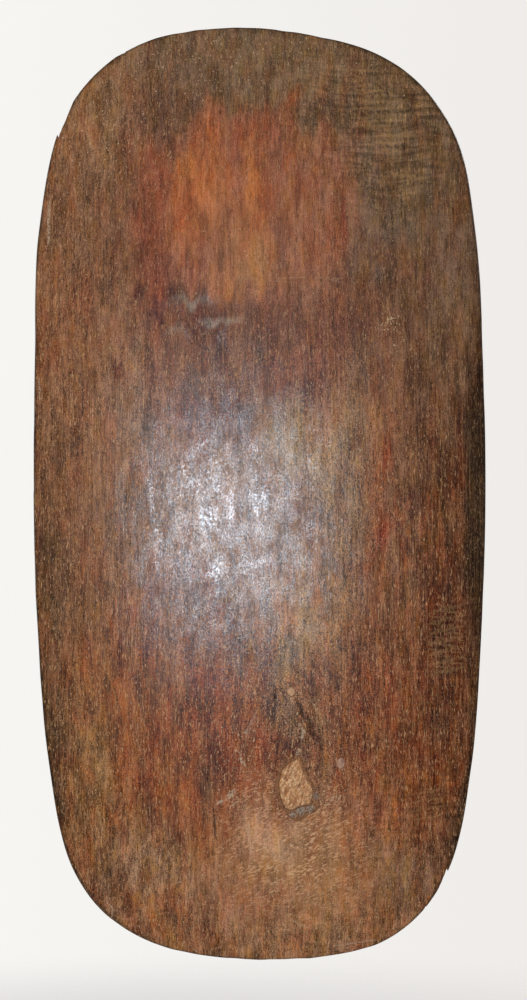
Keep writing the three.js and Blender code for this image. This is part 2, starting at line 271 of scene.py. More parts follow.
def grain_flow(x, z):
    """Where the grain's own lines run: X across them, Z along them. They wander a little, and part round the
    knot as water parts round a stone."""
    off_x, off_z = x - KNOT_X, (z - KNOT_Z) / GRAIN_TALLNESS
    parting = GRAIN_PUSH ** 2 / (off_x ** 2 + off_z ** 2 + GRAIN_SOFTNESS ** 2)
    return layered(x, z, GRAIN_SWAY, x - off_x * parting), layered(x, z, GRAIN_SHIFT, z)


# Strokes on the face: the kind, half the width, the strength, the depth and the broken line it follows. Ochre
# lines are coloured as gouges are, and soot as cracks.
CRACK, SCRATCH, BARE, GOUGE = "crack", "scratch", "bare", "gouge"
OCHRE, SOOT = GOUGE, CRACK
STROKES = [
    (SOOT, 3.6, 0.6, 0.6, [
        (49, -284), (57, -294), (60, -306), (71, -318), (73, -332), (85, -346), (87, -364),
    ]),
    (CRACK, 1.0, 0.9, 1.0, [(60, -298), (69, -314), (75, -334), (86, -352)]),
    (CRACK, 1.3, 0.6, 0.6, [(56, -318), (58, -334), (54, -350)]),
    (CRACK, 1.6, 0.7, 0.7, [(24, -271), (22, -284), (25, -296)]),
    (CRACK, 1.4, 0.7, 0.5, [(-5, -294), (-12, -312), (-22, -332)]),
    (CRACK, 0.9, 0.5, 0.3, [(-59, -314), (-53, -311), (-47, -317), (-50, -326), (-57, -328)]),
    (SCRATCH, 1.0, 0.4, 0.2, [(-2, -297), (-9, -314), (-17, -326)]),
    (BARE, 2.6, 0.8, 0.3, [(-22, -333), (-17, -330), (-12, -325)]),
    (OCHRE, 1.5, 0.9, 0.3, [(69, -285), (78, -300), (88, -320)]),
    (OCHRE, 1.2, 0.8, 0.3, [(75, -306), (84, -326), (93, -348)]),
    (OCHRE, 1.4, 0.7, 0.3, [(62, -276), (70, -284), (80, -292)]),
    (OCHRE, 1.6, 0.7, 0.3, [(40, -312), (48, -322), (52, -336)]),
    (BARE, 3.4, 0.9, -0.5, [(54, -318), (60, -330), (58, -342)]),
    (BARE, 2.8, 0.8, -0.4, [(54, -352), (52, -362), (50, -370)]),
    (CRACK, 0.8, 0.45, 0.2, [(-19, -29), (-10, -31), (-2, -34)]),
    (SCRATCH, 0.9, 0.5, 0.1, [(-71, 45), (-57, 47), (-43, 45)]),
    (CRACK, 1.4, 0.8, 0.6, [(-71, -379), (-72, -396), (-70, -414)]),
    (CRACK, 1.4, 0.9, 0.6, [(-65, -428), (-63, -456), (-62, -484)]),
    (CRACK, 1.1, 0.8, 0.4, [(-236, 168), (-226, 170), (-216, 168)]),
    (CRACK, 1.5, 0.8, 0.5, [(97, -635), (120, -641), (142, -640)]),
    (CRACK, 0.8, 0.35, 0.1, [(-197, 264), (-178, 265), (-159, 264)]),
    (SCRATCH, 0.8, 0.35, 0.1, [(10, 298), (66, 300), (123, 298)]),
    (SCRATCH, 1.5, 1.0, 0.3, [(65, 46), (68, 37), (73, 27)]),
    (SCRATCH, 1.3, 0.8, 0.3, [(74, 42), (80, 32), (86, 20)]),
    (SCRATCH, 0.9, 0.6, 0.1, [(86, 20), (92, 6), (95, -10)]),
    (SCRATCH, 1.2, 0.8, 0.2, [(20, -4), (42, -7), (66, -9)]),
    (SCRATCH, 1.1, 0.6, 0.2, [(64, -38), (65, -44), (64, -50)]),
    (SCRATCH, 1.1, 0.6, 0.1, [(-40, -112), (-14, -104), (13, -92)]),
    (SCRATCH, 1.2, 0.35, 0.1, [(-70, 97), (-95, 70), (-116, 40)]),
    (SCRATCH, 1.2, 0.35, 0.1, [(-132, -66), (-102, -36), (-70, -8)]),
    (SCRATCH, 1.2, 0.8, 0.3, [(-215, -569), (-206, -577), (-198, -587)]),
    (SCRATCH, 1.0, 0.7, 0.3, [(-205, -577), (-207, -584), (-205, -592)]),
    (SCRATCH, 1.4, 0.6, 0.0, [(101, -631), (133, -626), (166, -622)]),
    (SCRATCH, 1.2, 0.4, 0.1, [(42, -590), (56, -601), (74, -606)]),
    (SCRATCH, 1.6, 0.8, 0.2, [(98, -429), (101, -423), (104, -416)]),
    (SCRATCH, 1.5, 0.7, 0.2, [(107, -430), (110, -424), (113, -418)]),
    (SCRATCH, 1.4, 0.6, 0.2, [(88, -440), (93, -434), (97, -428)]),
    (SCRATCH, 1.9, 0.9, 0.3, [(-61, -433), (-55, -428), (-50, -425)]),
    (SCRATCH, 1.7, 0.9, 0.3, [(-53, -430), (-42, -422), (-30, -415)]),
    (SCRATCH, 1.6, 0.8, 0.3, [(-49, -422), (-40, -415), (-32, -409)]),
    (SCRATCH, 1.6, 0.7, 0.3, [(-43, -436), (-35, -431), (-28, -426)]),
    (SCRATCH, 2.5, 0.95, 0.4, [(-28, -366), (-24, -372), (-20, -379)]),
    (SCRATCH, 1.7, 0.8, 0.3, [(-30, -357), (-27, -361), (-25, -365)]),
    (BARE, 2.6, 1.0, 0.6, [(-294, 411), (-295, 380), (-295, 346)]),
    (BARE, 1.7, 0.8, 0.4, [(-309, 164), (-308, 146), (-308, 128)]),
    (BARE, 3.4, 0.5, 0.2, [(80, 111), (81, 100), (80, 88)]),
    (BARE, 2.0, 0.6, 0.5, [(262, -529), (256, -545), (249, -559)]),
    (GOUGE, 3.2, 1.0, 0.5, [(164, 497), (192, 499), (220, 499)]),
    (GOUGE, 2.8, 1.0, 0.5, [(158, 489), (180, 489), (204, 490)]),
    (GOUGE, 2.6, 0.9, 0.4, [(167, 478), (182, 478), (197, 478)]),
    (GOUGE, 2.6, 0.8, 0.4, [(126, 575), (135, 575), (145, 575)]),
    (GOUGE, 3.4, 1.0, 0.5, [(180, 447), (206, 442), (236, 438)]),
    (GOUGE, 2.4, 0.8, 0.4, [(130, 562), (158, 561), (186, 560)]),
    (GOUGE, 2.4, 0.7, 0.4, [(120, 590), (150, 589), (180, 588)]),
]
# Rows of like strokes left by a blade: the first line, the step to the next, how many, and how each is cut.
STROKE_ROWS = [
    (GOUGE, 2.8, 0.55, 0.4, [(126, 548), (168, 549), (210, 549)], (0, -12.5), 4),
    (GOUGE, 3.2, 0.6, 0.5, [(233, -168), (260, -161), (287, -155)], (0, -14.5), 7),
    (GOUGE, 2.6, 0.5, 0.4, [(211, -420), (234, -416), (257, -412)], (0, -12), 4),
    (GOUGE, 2.2, 0.4, 0.3, [(150, 574), (185, 576), (215, 574)], (2, 13), 2),
]
STROKE_KINDS = (CRACK, SCRATCH, BARE, GOUGE)
STROKE_MARGIN = 14.0  # how far round its line a stroke is worked out
STROKE_LIMIT = 6.0  # the most half widths away that is stored
# A stroke's half width at its ends as a share of that at its middle, and the share of it that each end
# fades over.
STROKE_THIN, STROKE_END = 0.4, 0.06


def all_strokes():
    """The single strokes, and each row's strokes stepped out from its first."""
    strokes = list(STROKES)
    for kind, half, strength, depth, line, (step_x, step_z), count in STROKE_ROWS:
        for i in range(count):
            moved = [(x + i * step_x, z + i * step_z) for x, z in line]
            strokes.append((kind, half, strength, depth, moved))
    return strokes


def beside_line(x, z, line):
    """The signed distance to a broken line, positive on its left, and how far along it lies, from 0 to 1."""
    nearest = np.full(x.shape, np.inf)
    signed, place = np.zeros(x.shape), np.zeros(x.shape)
    spans = len(line) - 1
    for i in range(spans):
        (x0, z0), (x1, z1) = line[i], line[i + 1]
        run_x, run_z = x1 - x0, z1 - z0
        t = np.clip(((x - x0) * run_x + (z - z0) * run_z) / (run_x ** 2 + run_z ** 2), 0, 1)
        off_x, off_z = x - x0 - t * run_x, z - z0 - t * run_z
        away = np.hypot(off_x, off_z)
        closer = away < nearest
        side = np.sign(run_x * off_z - run_z * off_x)
        nearest = np.where(closer, away, nearest)
        signed = np.where(closer, away * side, signed)
        place = np.where(closer, (i + t) / spans, place)
    return signed, place


def stroke_fields(x, z):
    """For each kind of stroke, the signed distance in half widths and the strength at each place, and the
    depth cut there by all of them. A half width swells from the line's ends to its middle."""
    fields = {kind: np.stack([np.full(x.shape, STROKE_LIMIT), np.zeros(x.shape)]) for kind in STROKE_KINDS}
    cut = np.zeros(x.shape)
    for kind, half, strength, depth, line in all_strokes():
        xs, zs = zip(*line)
        near = (x > min(xs) - STROKE_MARGIN) & (x < max(xs) + STROKE_MARGIN)
        near &= (z > min(zs) - STROKE_MARGIN) & (z < max(zs) + STROKE_MARGIN)
        if not near.any():
            continue
        signed, place = beside_line(x[near], z[near], line)
        swell = half * (STROKE_THIN + (1 - STROKE_THIN) * np.sin(np.pi * place) ** 0.6)
        scaled = np.clip(signed / swell, -STROKE_LIMIT, STROKE_LIMIT)
        ending = ease(0, STROKE_END, place) * (1 - ease(1 - STROKE_END, 1, place))
        old = fields[kind][:, near]
        closer = np.abs(scaled) < np.abs(old[0])
        fields[kind][:, near] = np.where(closer, [scaled, strength * ending], old)
        cut[near] = np.maximum(cut[near], depth * ending * np.exp(-scaled ** 2))
    return fields, cut


# Stains on the face: what each is, its place, its half sizes, its lean in degrees, its colour, its strength,
# and the share of it that its edge fades over.
STAINS = [
    ("tan left flank", -215, 120, 130, 420, 0, "#8A6044", 0.9, 0.8),
    ("umber top", 0, 610, 340, 110, 0, "#746350", 0.9, 0.6),
    ("grey brown over the left flank", -215, 420, 70, 100, 0, "#725543", 0.8, 0.9),
    ("tan left shoulder", -228, 530, 70, 75, 20, "#947256", 0.7, 0.8),
    ("violet shade by the patch", -130, 545, 60, 60, 20, "#694D3F", 0.8, 0.8),
    ("olive right shoulder", 190, 520, 130, 130, 0, "#776049", 0.9, 0.6),
    ("olive brown right flank", 235, 250, 110, 330, 0, "#6C5A4A", 0.9, 0.7),
    ("grey band right of the patch", 160, 378, 50, 162, 0, "#6C5D50", 0.9, 0.6),
    ("red brown right flank", 235, -190, 110, 260, 0, "#6C3D24", 0.95, 0.7),
    ("red brown lower right", 205, -420, 110, 170, 0, "#784426", 0.9, 0.8),
    ("orange brown lower left", -200, -350, 130, 260, 0, "#845833", 0.9, 0.8),
    ("brown below the middle", -80, -340, 110, 170, 0, "#7E421C", 0.9, 0.8),
    ("worn dark middle", 0, 20, 210, 260, 0, "#7C5C44", 0.9, 0.8),
    ("red brown under the patch", 0, 236, 180, 84, 0, "#6C3E2A", 0.9, 0.9),
    ("dark red brown above the glaze", -62, 106, 62, 42, 0, "#5A281A", 0.95, 0.9),
    ("right of the middle", 150, -20, 60, 260, 0, "#885438", 0.8, 0.9),
    ("mauve brown right of the glaze", 128, -20, 18, 95, 0, "#7C4E46", 0.65, 0.9),
    ("dark red brown beside the band", 226, 85, 24, 50, 0, "#5E3020", 0.6, 0.9),
    ("brown beside the band", 254, 34, 20, 36, 0, "#6C4C3A", 0.6, 0.9),
    ("red brown beside the band", 206, -30, 26, 60, 0, "#8C5A40", 0.6, 0.9),
    ("red brown under the right of the patch", 104, 210, 26, 50, 0, "#74392C", 0.65, 0.9),
    ("mauve grey under the grey band", 140, 205, 20, 52, 0, "#69504A", 0.7, 0.9),
    ("ochre above the glaze", 50, 62, 40, 44, 0, "#A0845A", 0.7, 0.9),
    ("ochre beside it", 114, 20, 28, 120, 0, "#A08666", 0.75, 0.9),
    ("ochre under the glaze", 58, -170, 42, 60, 0, "#AC8C64", 0.75, 0.9),
    ("ochre edge", 114, -156, 14, 44, 0, "#9C7040", 0.7, 0.9),
    ("violet red under the glaze", -112, -165, 44, 56, 0, "#764A3C", 0.7, 0.9),
    ("reddish bottom", 20, -600, 250, 80, 0, "#9A7052", 0.9, 0.8),
    ("tan lower left", -145, -514, 64, 50, 0, "#A88468", 0.8, 0.9),
    ("orange brown patch", -26, 394, 146, 132, 0, "#97604A", 1.0, 0.12),
    ("orange left heart of the patch", -86, 424, 38, 68, 0, "#B06C40", 0.95, 0.7),
    ("orange right heart of the patch", 0, 404, 18, 66, 0, "#B47042", 0.95, 0.7),
    ("tan foot of the patch", -22, 322, 36, 48, 0, "#A2724A", 0.9, 0.7),
    ("ochre in the patch", 56, 398, 24, 28, 0, "#94603A", 0.75, 0.8),
    ("dark gap in the patch", -56, 378, 7, 30, -20, "#7A4A32", 0.5, 0.9),
    ("dark streak in the patch", 24, 346, 8, 56, 0, "#744C3E", 0.6, 0.9),
    ("red right of the patch", 84, 415, 48, 110, 0, "#986852", 0.85, 0.7),
    ("red rim of the patch", -148, 370, 28, 110, 0, "#80432E", 0.9, 0.7),
    ("pinkish brown at the patch's foot", 68, 300, 34, 48, 0, "#A07058", 0.75, 0.9),
    ("dark mauve under the patch's foot", -40, 266, 70, 14, 0, "#5A3C34", 0.6, 0.9),
    ("tan right flank", 262, 322, 24, 44, 0, "#84695A", 0.7, 0.9),
    ("brown under the patch's right", 62, 212, 64, 30, 0, "#7C5242", 0.6, 0.9),
    ("tan brown right of the middle", 208, -60, 24, 84, 0, "#906A54", 0.75, 0.9),
    ("brown low on the right flank", 255, -290, 22, 36, 0, "#745040", 0.65, 0.9),
    ("grey end of the band", 161, 318, 24, 32, 0, "#5E5650", 0.7, 0.9),
    ("tan grey left of the glaze", -184, 160, 26, 90, 0, "#967662", 0.7, 0.9),
    ("red brown above the glaze's left", -131, 165, 22, 40, 0, "#8A5642", 0.6, 0.9),
    ("brown above the glaze's right", 163, 175, 24, 50, 0, "#806254", 0.6, 0.9),
    ("tan low on the right shoulder", 205, 440, 26, 40, 0, "#866B4E", 0.6, 0.9),
    ("orange brown left of the glaze's foot", -180, -230, 24, 70, 0, "#92522A", 0.65, 0.9),
    ("orange red under the glaze", -84, -288, 24, 34, 0, "#904A22", 0.75, 0.9),
    ("red brown above the ochre", 62, 160, 34, 26, 0, "#7A3E28", 0.85, 0.9),
    ("violet shade at the patch's corner", -148, 505, 34, 36, 25, "#64483C", 0.85, 0.7),
    ("dark grey above the patch", 84, 532, 28, 16, 0, "#584C3D", 0.8, 0.7),
    ("worn tan below the knot", 35, -495, 110, 85, 0, "#AC7A52", 0.9, 0.9),
    ("olive tan ripples", 68, -504, 48, 60, 0, "#A37C56", 0.75, 0.9),
    ("orange red right of the knot", 152, -450, 42, 34, 0, "#B47C5E", 0.8, 0.9),
    ("orange brown low left", -215, -262, 22, 34, 0, "#8A5A32", 0.7, 0.9),
    ("red brown left of the knot", -54, -376, 72, 80, 0, "#84421A", 0.9, 0.9),
    ("red brown right of the tear", 116, -318, 28, 56, 0, "#7C3E20", 0.7, 0.9),
    ("orange red streak right of the tear", 162, -290, 18, 36, 0, "#A05E42", 0.75, 0.9),
    ("pale tan under the knot", 14, -460, 34, 30, 0, "#D0AA8C", 0.8, 0.9),
    ("grey tan lower right corner", 212, -516, 40, 40, 0, "#8E7460", 0.75, 0.9),
    # Painted shade where the hewn lower left corner turns away from the light.
    ("painted shade of the lower left corner", -226, -568, 40, 28, 0, "#5E4436", 0.8, 0.9),
    ("tan bottom", 60, -626, 60, 22, 0, "#AA8262", 0.7, 0.9),
    ("mauve tan above the bottom", -30, -568, 60, 30, 0, "#98725E", 0.6, 0.9),
    ("brown left flank", -258, -32, 38, 60, 0, "#6A4632", 0.5, 0.9),
    ("brown low on the left rim", -274, -320, 24, 110, 0, "#60422E", 0.5, 0.9),
    ("dark brown right flank", 212, 122, 24, 110, 0, "#584236", 0.45, 0.9),
    # Painted shade where the hewn lower left corner turns away from the light.
    ("painted shade above the lower left corner", -200, -556, 48, 30, 0, "#684A36", 0.45, 0.9),
    ("dark brown above the patch's right", 112, 550, 24, 20, 0, "#483A34", 0.5, 0.9),
]
# Smaller marks of colour, painted last.
SPOTS = [
    ("dark red spot", -168, 282, 10, 12, 0, "#481810", 1.0, 0.5),
    ("dark red spot", -122, 280, 9, 11, 0, "#481810", 1.0, 0.5),
    ("dark red spot", -142, 246, 12, 8, 0, "#481A12", 1.0, 0.5),
    ("dark red streak", -83, 245, 8, 16, 0, "#5E2216", 0.8, 0.9),
    ("dark red spot", -198, 169, 8, 14, 0, "#5E2012", 1.0, 0.9),
    ("dark red spot", -150, -159, 6, 7, 0, "#6A3020", 0.6, 0.9),
    ("dark red spot", -192, -202, 6, 7, 0, "#6A3020", 0.6, 0.9),
    ("dark red spot", -156, -215, 6, 7, 0, "#6A3020", 0.6, 0.9),
    ("dark red mottling under the patch", -140, 258, 30, 14, 0, "#5A281A", 0.7, 0.9),
    ("dark red mottling under the patch", -88, 236, 28, 13, 0, "#58281C", 0.7, 0.9),
    ("dark violet mottling under it", -50, 208, 22, 20, 0, "#4E2E28", 0.6, 0.9),
    # Painted highlight: grey glints painted as colour under the patch, where the glaze gets little light.
    ("painted grey glint under the patch", -94, 268, 24, 5, 0, "#96908E", 0.7, 0.7),
    ("painted grey glint under the patch", -54, 238, 26, 5, 0, "#96908E", 0.7, 0.7),
    ("painted grey glint under the patch", -112, 226, 14, 5, 0, "#8A8482", 0.5, 0.9),
    ("red streak", 172, -44, 7, 24, 0, "#8C3420", 0.85, 0.9),
    ("orange red streak", 176, 63, 6, 20, 0, "#90401F", 0.8, 0.9),
    ("maroon streak", 122, -98, 16, 9, 0, "#5E2A1C", 0.6, 0.9),
    ("red edge of the patch", 117, 376, 4, 36, 0, "#8A3E2A", 0.8, 0.9),
    ("orange red flame", 44, 548, 6, 20, -35, "#94522F", 0.8, 0.9),
    ("dark red by the band", 281, 55, 6, 68, 0, "#5A2418", 0.85, 0.9),
    ("dark red right of the knot", 160, -440, 7, 46, 0, "#6A3422", 0.6, 0.9),
    ("violet red left of the middle", -150, -125, 24, 36, 0, "#6E4640", 0.5, 0.9),
    # Painted shade: the band where the hewn right edge turns away from the light.
    ("painted shade of the turned-away right edge", 306, -5, 22, 215, 0, "#32261D", 0.97, 0.35),
    ("dark red at the band's foot", 260, -200, 28, 80, 0, "#481A10", 1.0, 0.9),
    # Painted shade at the foot of that band.
    ("painted shade at the band's foot", 296, -280, 8, 70, 2, "#3E2E24", 0.6, 0.8),
    # Painted shade where the lower edges turn away from the light.
    ("painted shade of the lower right edge", 272, -470, 16, 50, -20, "#46342A", 0.7, 0.9),
    ("painted shade of the lower left edge", -280, -440, 10, 30, 10, "#453A30", 0.8, 0.9),
    ("orange rim, upper left", -236, 596, 22, 18, 45, "#8E5F38", 0.7, 0.9),
    ("torn grain above the knot", 62, -318, 34, 52, 0, "#7C5642", 0.65, 0.8),
    # Painted shadow in a soft ring round the knot's hole.
    ("painted shadow round the knot's hole", 55, -410, 35, 52, 0, "#54381F", 0.25, 0.4),
    ("ochre lines above the knot", 70, -300, 22, 34, 0, "#7E6844", 0.5, 0.9),
    ("grey stain right of the knot", 90, -380, 9, 9, 0, "#5A4C44", 0.7, 0.9),
    ("dark hollow left of the knot", -68, -400, 14, 46, 0, "#5C4234", 0.6, 0.9),
    ("tan tear round the small plug", 45, -275, 9, 9, 0, "#B48C66", 0.75, 0.9),
    ("dull olive left rim", -292, -230, 20, 240, 0, "#4C3B2A", 0.7, 0.8),
    ("olive tan low left", -232, -400, 26, 64, 0, "#98764E", 0.7, 0.9),
    ("soot below the plug", 20, -296, 24, 26, 0, "#5E4838", 0.5, 0.9),
]
# Where the face shines: place, half sizes and strength.
POLISH = [("the hand-worn middle", 0, -54, 190, 188, 1.0)]
# Where rubbing has burnished it to a glaze: place, half sizes, lean in degrees and strength.
BURNISHED = [
    ("bright middle", -71, -31, 19, 27, 0, 0.92),
    ("streak beside it", -42, -23, 9, 32, 0, 1.0),
    ("bright right", 0, -12, 18, 25, 0, 1.0),
    ("its tail", 2, -50, 11, 17, 0, 0.85),
    ("left streak", -151, -2, 5, 36, 2, 1.0),
    ("left streak's foot", -142, -72, 8, 38, 4, 0.8),
    ("broad glaze", -78, 14, 54, 34, 0, 0.62),
    ("upper left arc", -85, 64, 30, 8, 38, 0.8),
    ("upper left arc", -98, 44, 34, 7, 42, 0.75),
    ("upper right patch", -6, 60, 12, 18, 0, 0.75),
    ("upper dashes", -54, 46, 16, 7, 0, 0.7),
    ("middle haze", -30, 12, 80, 60, 0, 0.42),
    ("lower left glaze", -112, -62, 38, 42, 0, 0.45),
    ("drop", -61, -107, 18, 16, 10, 1.0),
    ("smear beside the drop", -11, -99, 30, 9, 20, 1.0),
    ("pale smear", 57, -88, 16, 16, 0, 0.6),
    ("grey patch", -52, 222, 10, 26, 0, 0.6),
    ("glints under the patch", -105, 262, 40, 14, 0, 0.6),
    ("glint left of it", -70, 235, 20, 12, 30, 0.6),
    ("foot of the glaze", -20, -190, 60, 36, 0, 0.3),
    ("left foot of the glaze", -95, -240, 50, 26, 0, 0.35),
    ("glaze beside the left streak", -130, -12, 13, 26, 0, 0.5),
    ("glaze right of the middle", 44, 16, 26, 38, 0, 0.42),
]
# Where pale flecks have been knocked off.
SCUFFS = [
    ("the white graze", 181, 238, 14, 18, 1.4),
    ("above the knot", 62, -320, 46, 46, 0.7),
    ("left of the knot", -15, -390, 60, 60, 0.8),
    ("right of the knot", 98, -400, 26, 50, 0.7),
    ("its trail", 190, 205, 12, 40, 0.6),
    ("flecks by the knot", -40, -420, 30, 40, 0.7),
    ("flecks in the ripples", 60, -490, 100, 80, 0.6),
    ("the foot", 0, -600, 220, 60, 0.4),
    ("the left shoulder", -225, 520, 80, 90, 0.5),
    ("the top", -60, 610, 200, 50, 0.5),
    ("right of the middle", 110, 60, 60, 90, 0.5),
]
# Where the fine ripple of worn growth layers shows: place, half sizes and strength.
RIPPLES = [
    ("below the knot", 48, -496, 92, 76, 1.0),
    ("left of the knot", 2, -418, 26, 26, 0.8),
    ("right of the knot", 98, -422, 16, 24, 0.7),
]
# Where long rubbing has worn the fibres smooth: one is smooth, and the back's own measure is above that.
SMOOTH = [
    ("the patch", -26, 390, 165, 160, 1.1),
    ("beside the patch", 180, 420, 150, 260, 0.8),
    ("over the patch", 0, 600, 260, 90, 0.8),
    ("below the knot", 35, -500, 120, 90, 0.6),
    ("the dark band", 308, -5, 24, 215, 1.0),
]
# Where the grain is livelier than elsewhere, taken off the smoothness.
LIVELY = [
    ("lower half", 0, -420, 320, 240, 0.4),
    ("right flank", 240, -150, 90, 250, 0.35),
]
# Where the fibres are crazed and gritty.
GRITTY = [
    ("the middle", -20, -10, 170, 230, 0.85),
    ("below the middle", 10, -250, 130, 110, 0.9),
    ("round the knot", 60, -370, 80, 110, 0.8),
]
# Where a blade has left level bands.
BANDS = [
    ("right shoulder", 185, 510, 75, 95, 0.9),
    ("above the patch", 120, 560, 70, 60, 0.5),
    ("right flank", 262, -215, 44, 90, 0.6),
    ("lower right", 225, -430, 60, 60, 0.5),
    ("foot", 60, -590, 190, 50, 0.3),
]
# How smooth the back is, on the scale of SMOOTH: its bites are large and its fibres lie flat.
BACK_SMOOTH = 1.5
# How square a stain is, and the share of a zone and of a glazed patch that its edge fades over.
BLOB_POWER, ZONE_FADE, GLAZE_FADE = 2.5, 0.8, 0.6
MOTTLE, FIRST_MOTTLE = (0.32, 9, 24), 300  # the stains' mottling, and the first one's seed
# The face's base colour, and the colour of the painted shade along the rim.
BASE_BROWN, RIM_SHADE_BROWN = linear("#7A523E"), linear("#2A211A")
BACK_BROWN, BACK_DARK = linear("#7A5438"), linear("#54392A")
# How far in from the outline the rim is darkened with painted shade, where the rounded rim turns away from
# the light: the way it looks in degrees above +X, and the reach.
RIM_SHADE_REACH = [
    (-180, 4), (-160, 5), (-150, 7), (-140, 8), (-128, 9), (-110, 3), (-60, 3), (-50, 5), (-43, 12),
    (-37, 22), (-31, 13), (-26, 9), (0, 6), (22, 9), (40, 7), (90, 4), (140, 5), (165, 5),
]


# How raggedly that reach runs, and the shares of it that the painted shade fades between.
RIM_SHADE_RAGGED, RIM_SHADE_FROM, RIM_SHADE_TO = [(0.3, 9, 40, 54)], 0.35, 1.3
# Where the hand and forearm have rubbed the back: place, half sizes, lean and fade.
HANDLED = (0, 0, 150, 190, 0, 0.8)


def blob(x, z, place_x, place_z, half_x, half_z, lean, fade):
    """One inside a leaning, slightly squared ellipse and nought outside it, with an edge that fades over a
    share of its size."""
    turn = np.radians(lean)
    off_x, off_z = x - place_x, z - place_z
    u = (off_x * np.cos(turn) + off_z * np.sin(turn)) / half_x
    v = (off_z * np.cos(turn) - off_x * np.sin(turn)) / half_z
    out = (np.abs(u) ** BLOB_POWER + np.abs(v) ** BLOB_POWER) ** (1 / BLOB_POWER)
    return ease(-fade, fade, 1 - out)


def blended(colour, towards, share):
    """Colours moved towards others by a share at each place."""
    return colour + share[:, None] * (towards - colour)


# What blurs the stains' edges: tongues drawn along the grain, clouds, and drifts to the side.
TONGUES, CLOUDS = [(0.6, 5, 150, 31), (0.8, 14, 260, 32)], [(1, 44, 70, 33), (0.5, 17, 30, 34)]
STAIN_DRIFT, SPOT_DRIFT = [(12, 50, 60, 35), (5, 16, 34, 36)], [(3.5, 13, 22, 37)]
STAIN_TONGUE, STAIN_CLOUD, SPOT_TONGUE = 24, 14, 9


def face_colour(x, z):
    """The stains and spots laid over the base colour in order, a few of them painted shade, a painted shadow
    and painted glints. The grain drags each edge into tongues.
    """
    flow_x, flow_z = grain_flow(x, z)
    tongue = layered(flow_x, flow_z, TONGUES)
    drift_x = layered(x, z, STAIN_DRIFT, x)
    drift_z = z + STAIN_TONGUE * tongue + STAIN_CLOUD * layered(x, z, CLOUDS)
    colour = BASE_BROWN
    for order, (_, at_x, at_z, half_x, half_z, lean, tint, strength, fade) in enumerate(STAINS):
        mottled = np.clip(layered(flow_x, flow_z, [(*MOTTLE, FIRST_MOTTLE + order)], 0.9), 0, 1)
        mask = blob(drift_x, drift_z, at_x, at_z, half_x, half_z, lean, fade) * strength * mottled
        colour = blended(colour, linear(tint), mask)
    spot_x, spot_z = layered(x, z, SPOT_DRIFT, x), z + SPOT_TONGUE * tongue
    for _, at_x, at_z, half_x, half_z, lean, tint, strength, fade in SPOTS:
        mask = blob(spot_x, spot_z, at_x, at_z, half_x, half_z, lean, fade) * strength
        colour = blended(colour, linear(tint), mask)
    return colour


def zone(x, z, table):
    """The strongest of a table's soft zones at each place."""
    strongest = np.zeros(x.shape)
    for _, at_x, at_z, half_x, half_z, strength in table:
        soft = blob(x, z, at_x, at_z, half_x, half_z, 0, ZONE_FADE)
        strongest = np.maximum(strongest, strength * soft)
    return strongest


# What drags the glaze's edges to the side, and along the grain.
GLAZE_DRIFT, GLAZE_TONGUES = [(2.5, 12, 20, 38), (1.4, 5, 8, 39)], [(6, 4, 40, 40)]


def burnish(x, z):
    """How far rubbing has glazed each place: the strongest patch there, its edge dragged out by the grain."""
    drift_x, drift_z = layered(x, z, GLAZE_DRIFT, x), layered(*grain_flow(x, z), GLAZE_TONGUES, z)
    strongest = np.zeros(x.shape)
    for _, at_x, at_z, half_x, half_z, lean, strength in BURNISHED:
        patch = blob(drift_x, drift_z, at_x, at_z, half_x, half_z, lean, GLAZE_FADE)
        strongest = np.maximum(strongest, strength * patch)
    return strongest


# The face's relief in millimetres: the worn bites of the blade, the ripples' height and spacing, the hollow
# round the knot and the swirl of the grain in it.
BITE_DEPTH, RIPPLE_HEIGHT, RIPPLE_SPACING, KNOT_HOLLOW, KNOT_SWIRL = 0.45, 0.12, 9.5, 0.9, 0.35
HOLLOW_REACH, SWIRL_REACH = 2.2, 2.6  # in times the knot's size
POLISH_WEARS = 0.8  # how much of the relief polishing has worn away
BITE_SIZE = (42, 34, 43)  # across, along and seed
MEAN_WAVE, WAVES = 0.4, [(0.25, 75, 190, 41), (0.15, 30, 60, 42)]
FURROWS, RIPPLE_WAVER = [(0.1, 7.5, 150, 44), (0.06, 4.2, 60, 45)], [(4, 16, 18, 46)]
# The back's: the adze's bites, how much of them the hand has worn away, the faint grain, and the least depth.
ADZE_DEPTH, ADZE_WORN, BACK_GRAIN, BACK_LEAST = 3.6, 2.4, 0.12, 0.2
ADZE_SIZE, ADZE_WAVER = (36, 46, 52), [(6, 60, 90, 51)]
WORN_SMOOTH = (0, 0, 130, 170, 0, 0.7)  # place, half sizes, lean and fade


def face_relief(x, z):
    """How far the face lies below its bow: slow waves, worn blade bites, furrows between the grain's ridges,
    ripples, strokes and a hollow round the knot."""
    flow_x, flow_z = grain_flow(x, z)
    rough = 1 - POLISH_WEARS * zone(x, z, POLISH)
    waves = layered(x, z, WAVES, MEAN_WAVE)
    bites = BITE_DEPTH * rough * bowls(x, z, *BITE_SIZE)
    furrows = layered(flow_x, flow_z, FURROWS)
    wavering = layered(x, z, RIPPLE_WAVER, z)
    ripple = RIPPLE_HEIGHT * zone(x, z, RIPPLES) * np.sin(2 * np.pi * wavering / RIPPLE_SPACING)
    hollow = KNOT_HOLLOW * near_knot(x, z, HOLLOW_REACH) ** 2
    swirl = KNOT_SWIRL * near_knot(x, z, SWIRL_REACH) * noise(flow_x, flow_z, 6, 46, 47)
    cut = stroke_fields(x, z)[1]
    return np.maximum(waves + bites + furrows * (0.5 + 0.7 * rough) + ripple + hollow + swirl + cut, 0)


def adze_bites(x, z):
    """How deep the adze has bitten into the back at each place, from 0 to 1, in rows that wander a little."""
    return bowls(layered(x, z, ADZE_WAVER, x), z, *ADZE_SIZE)


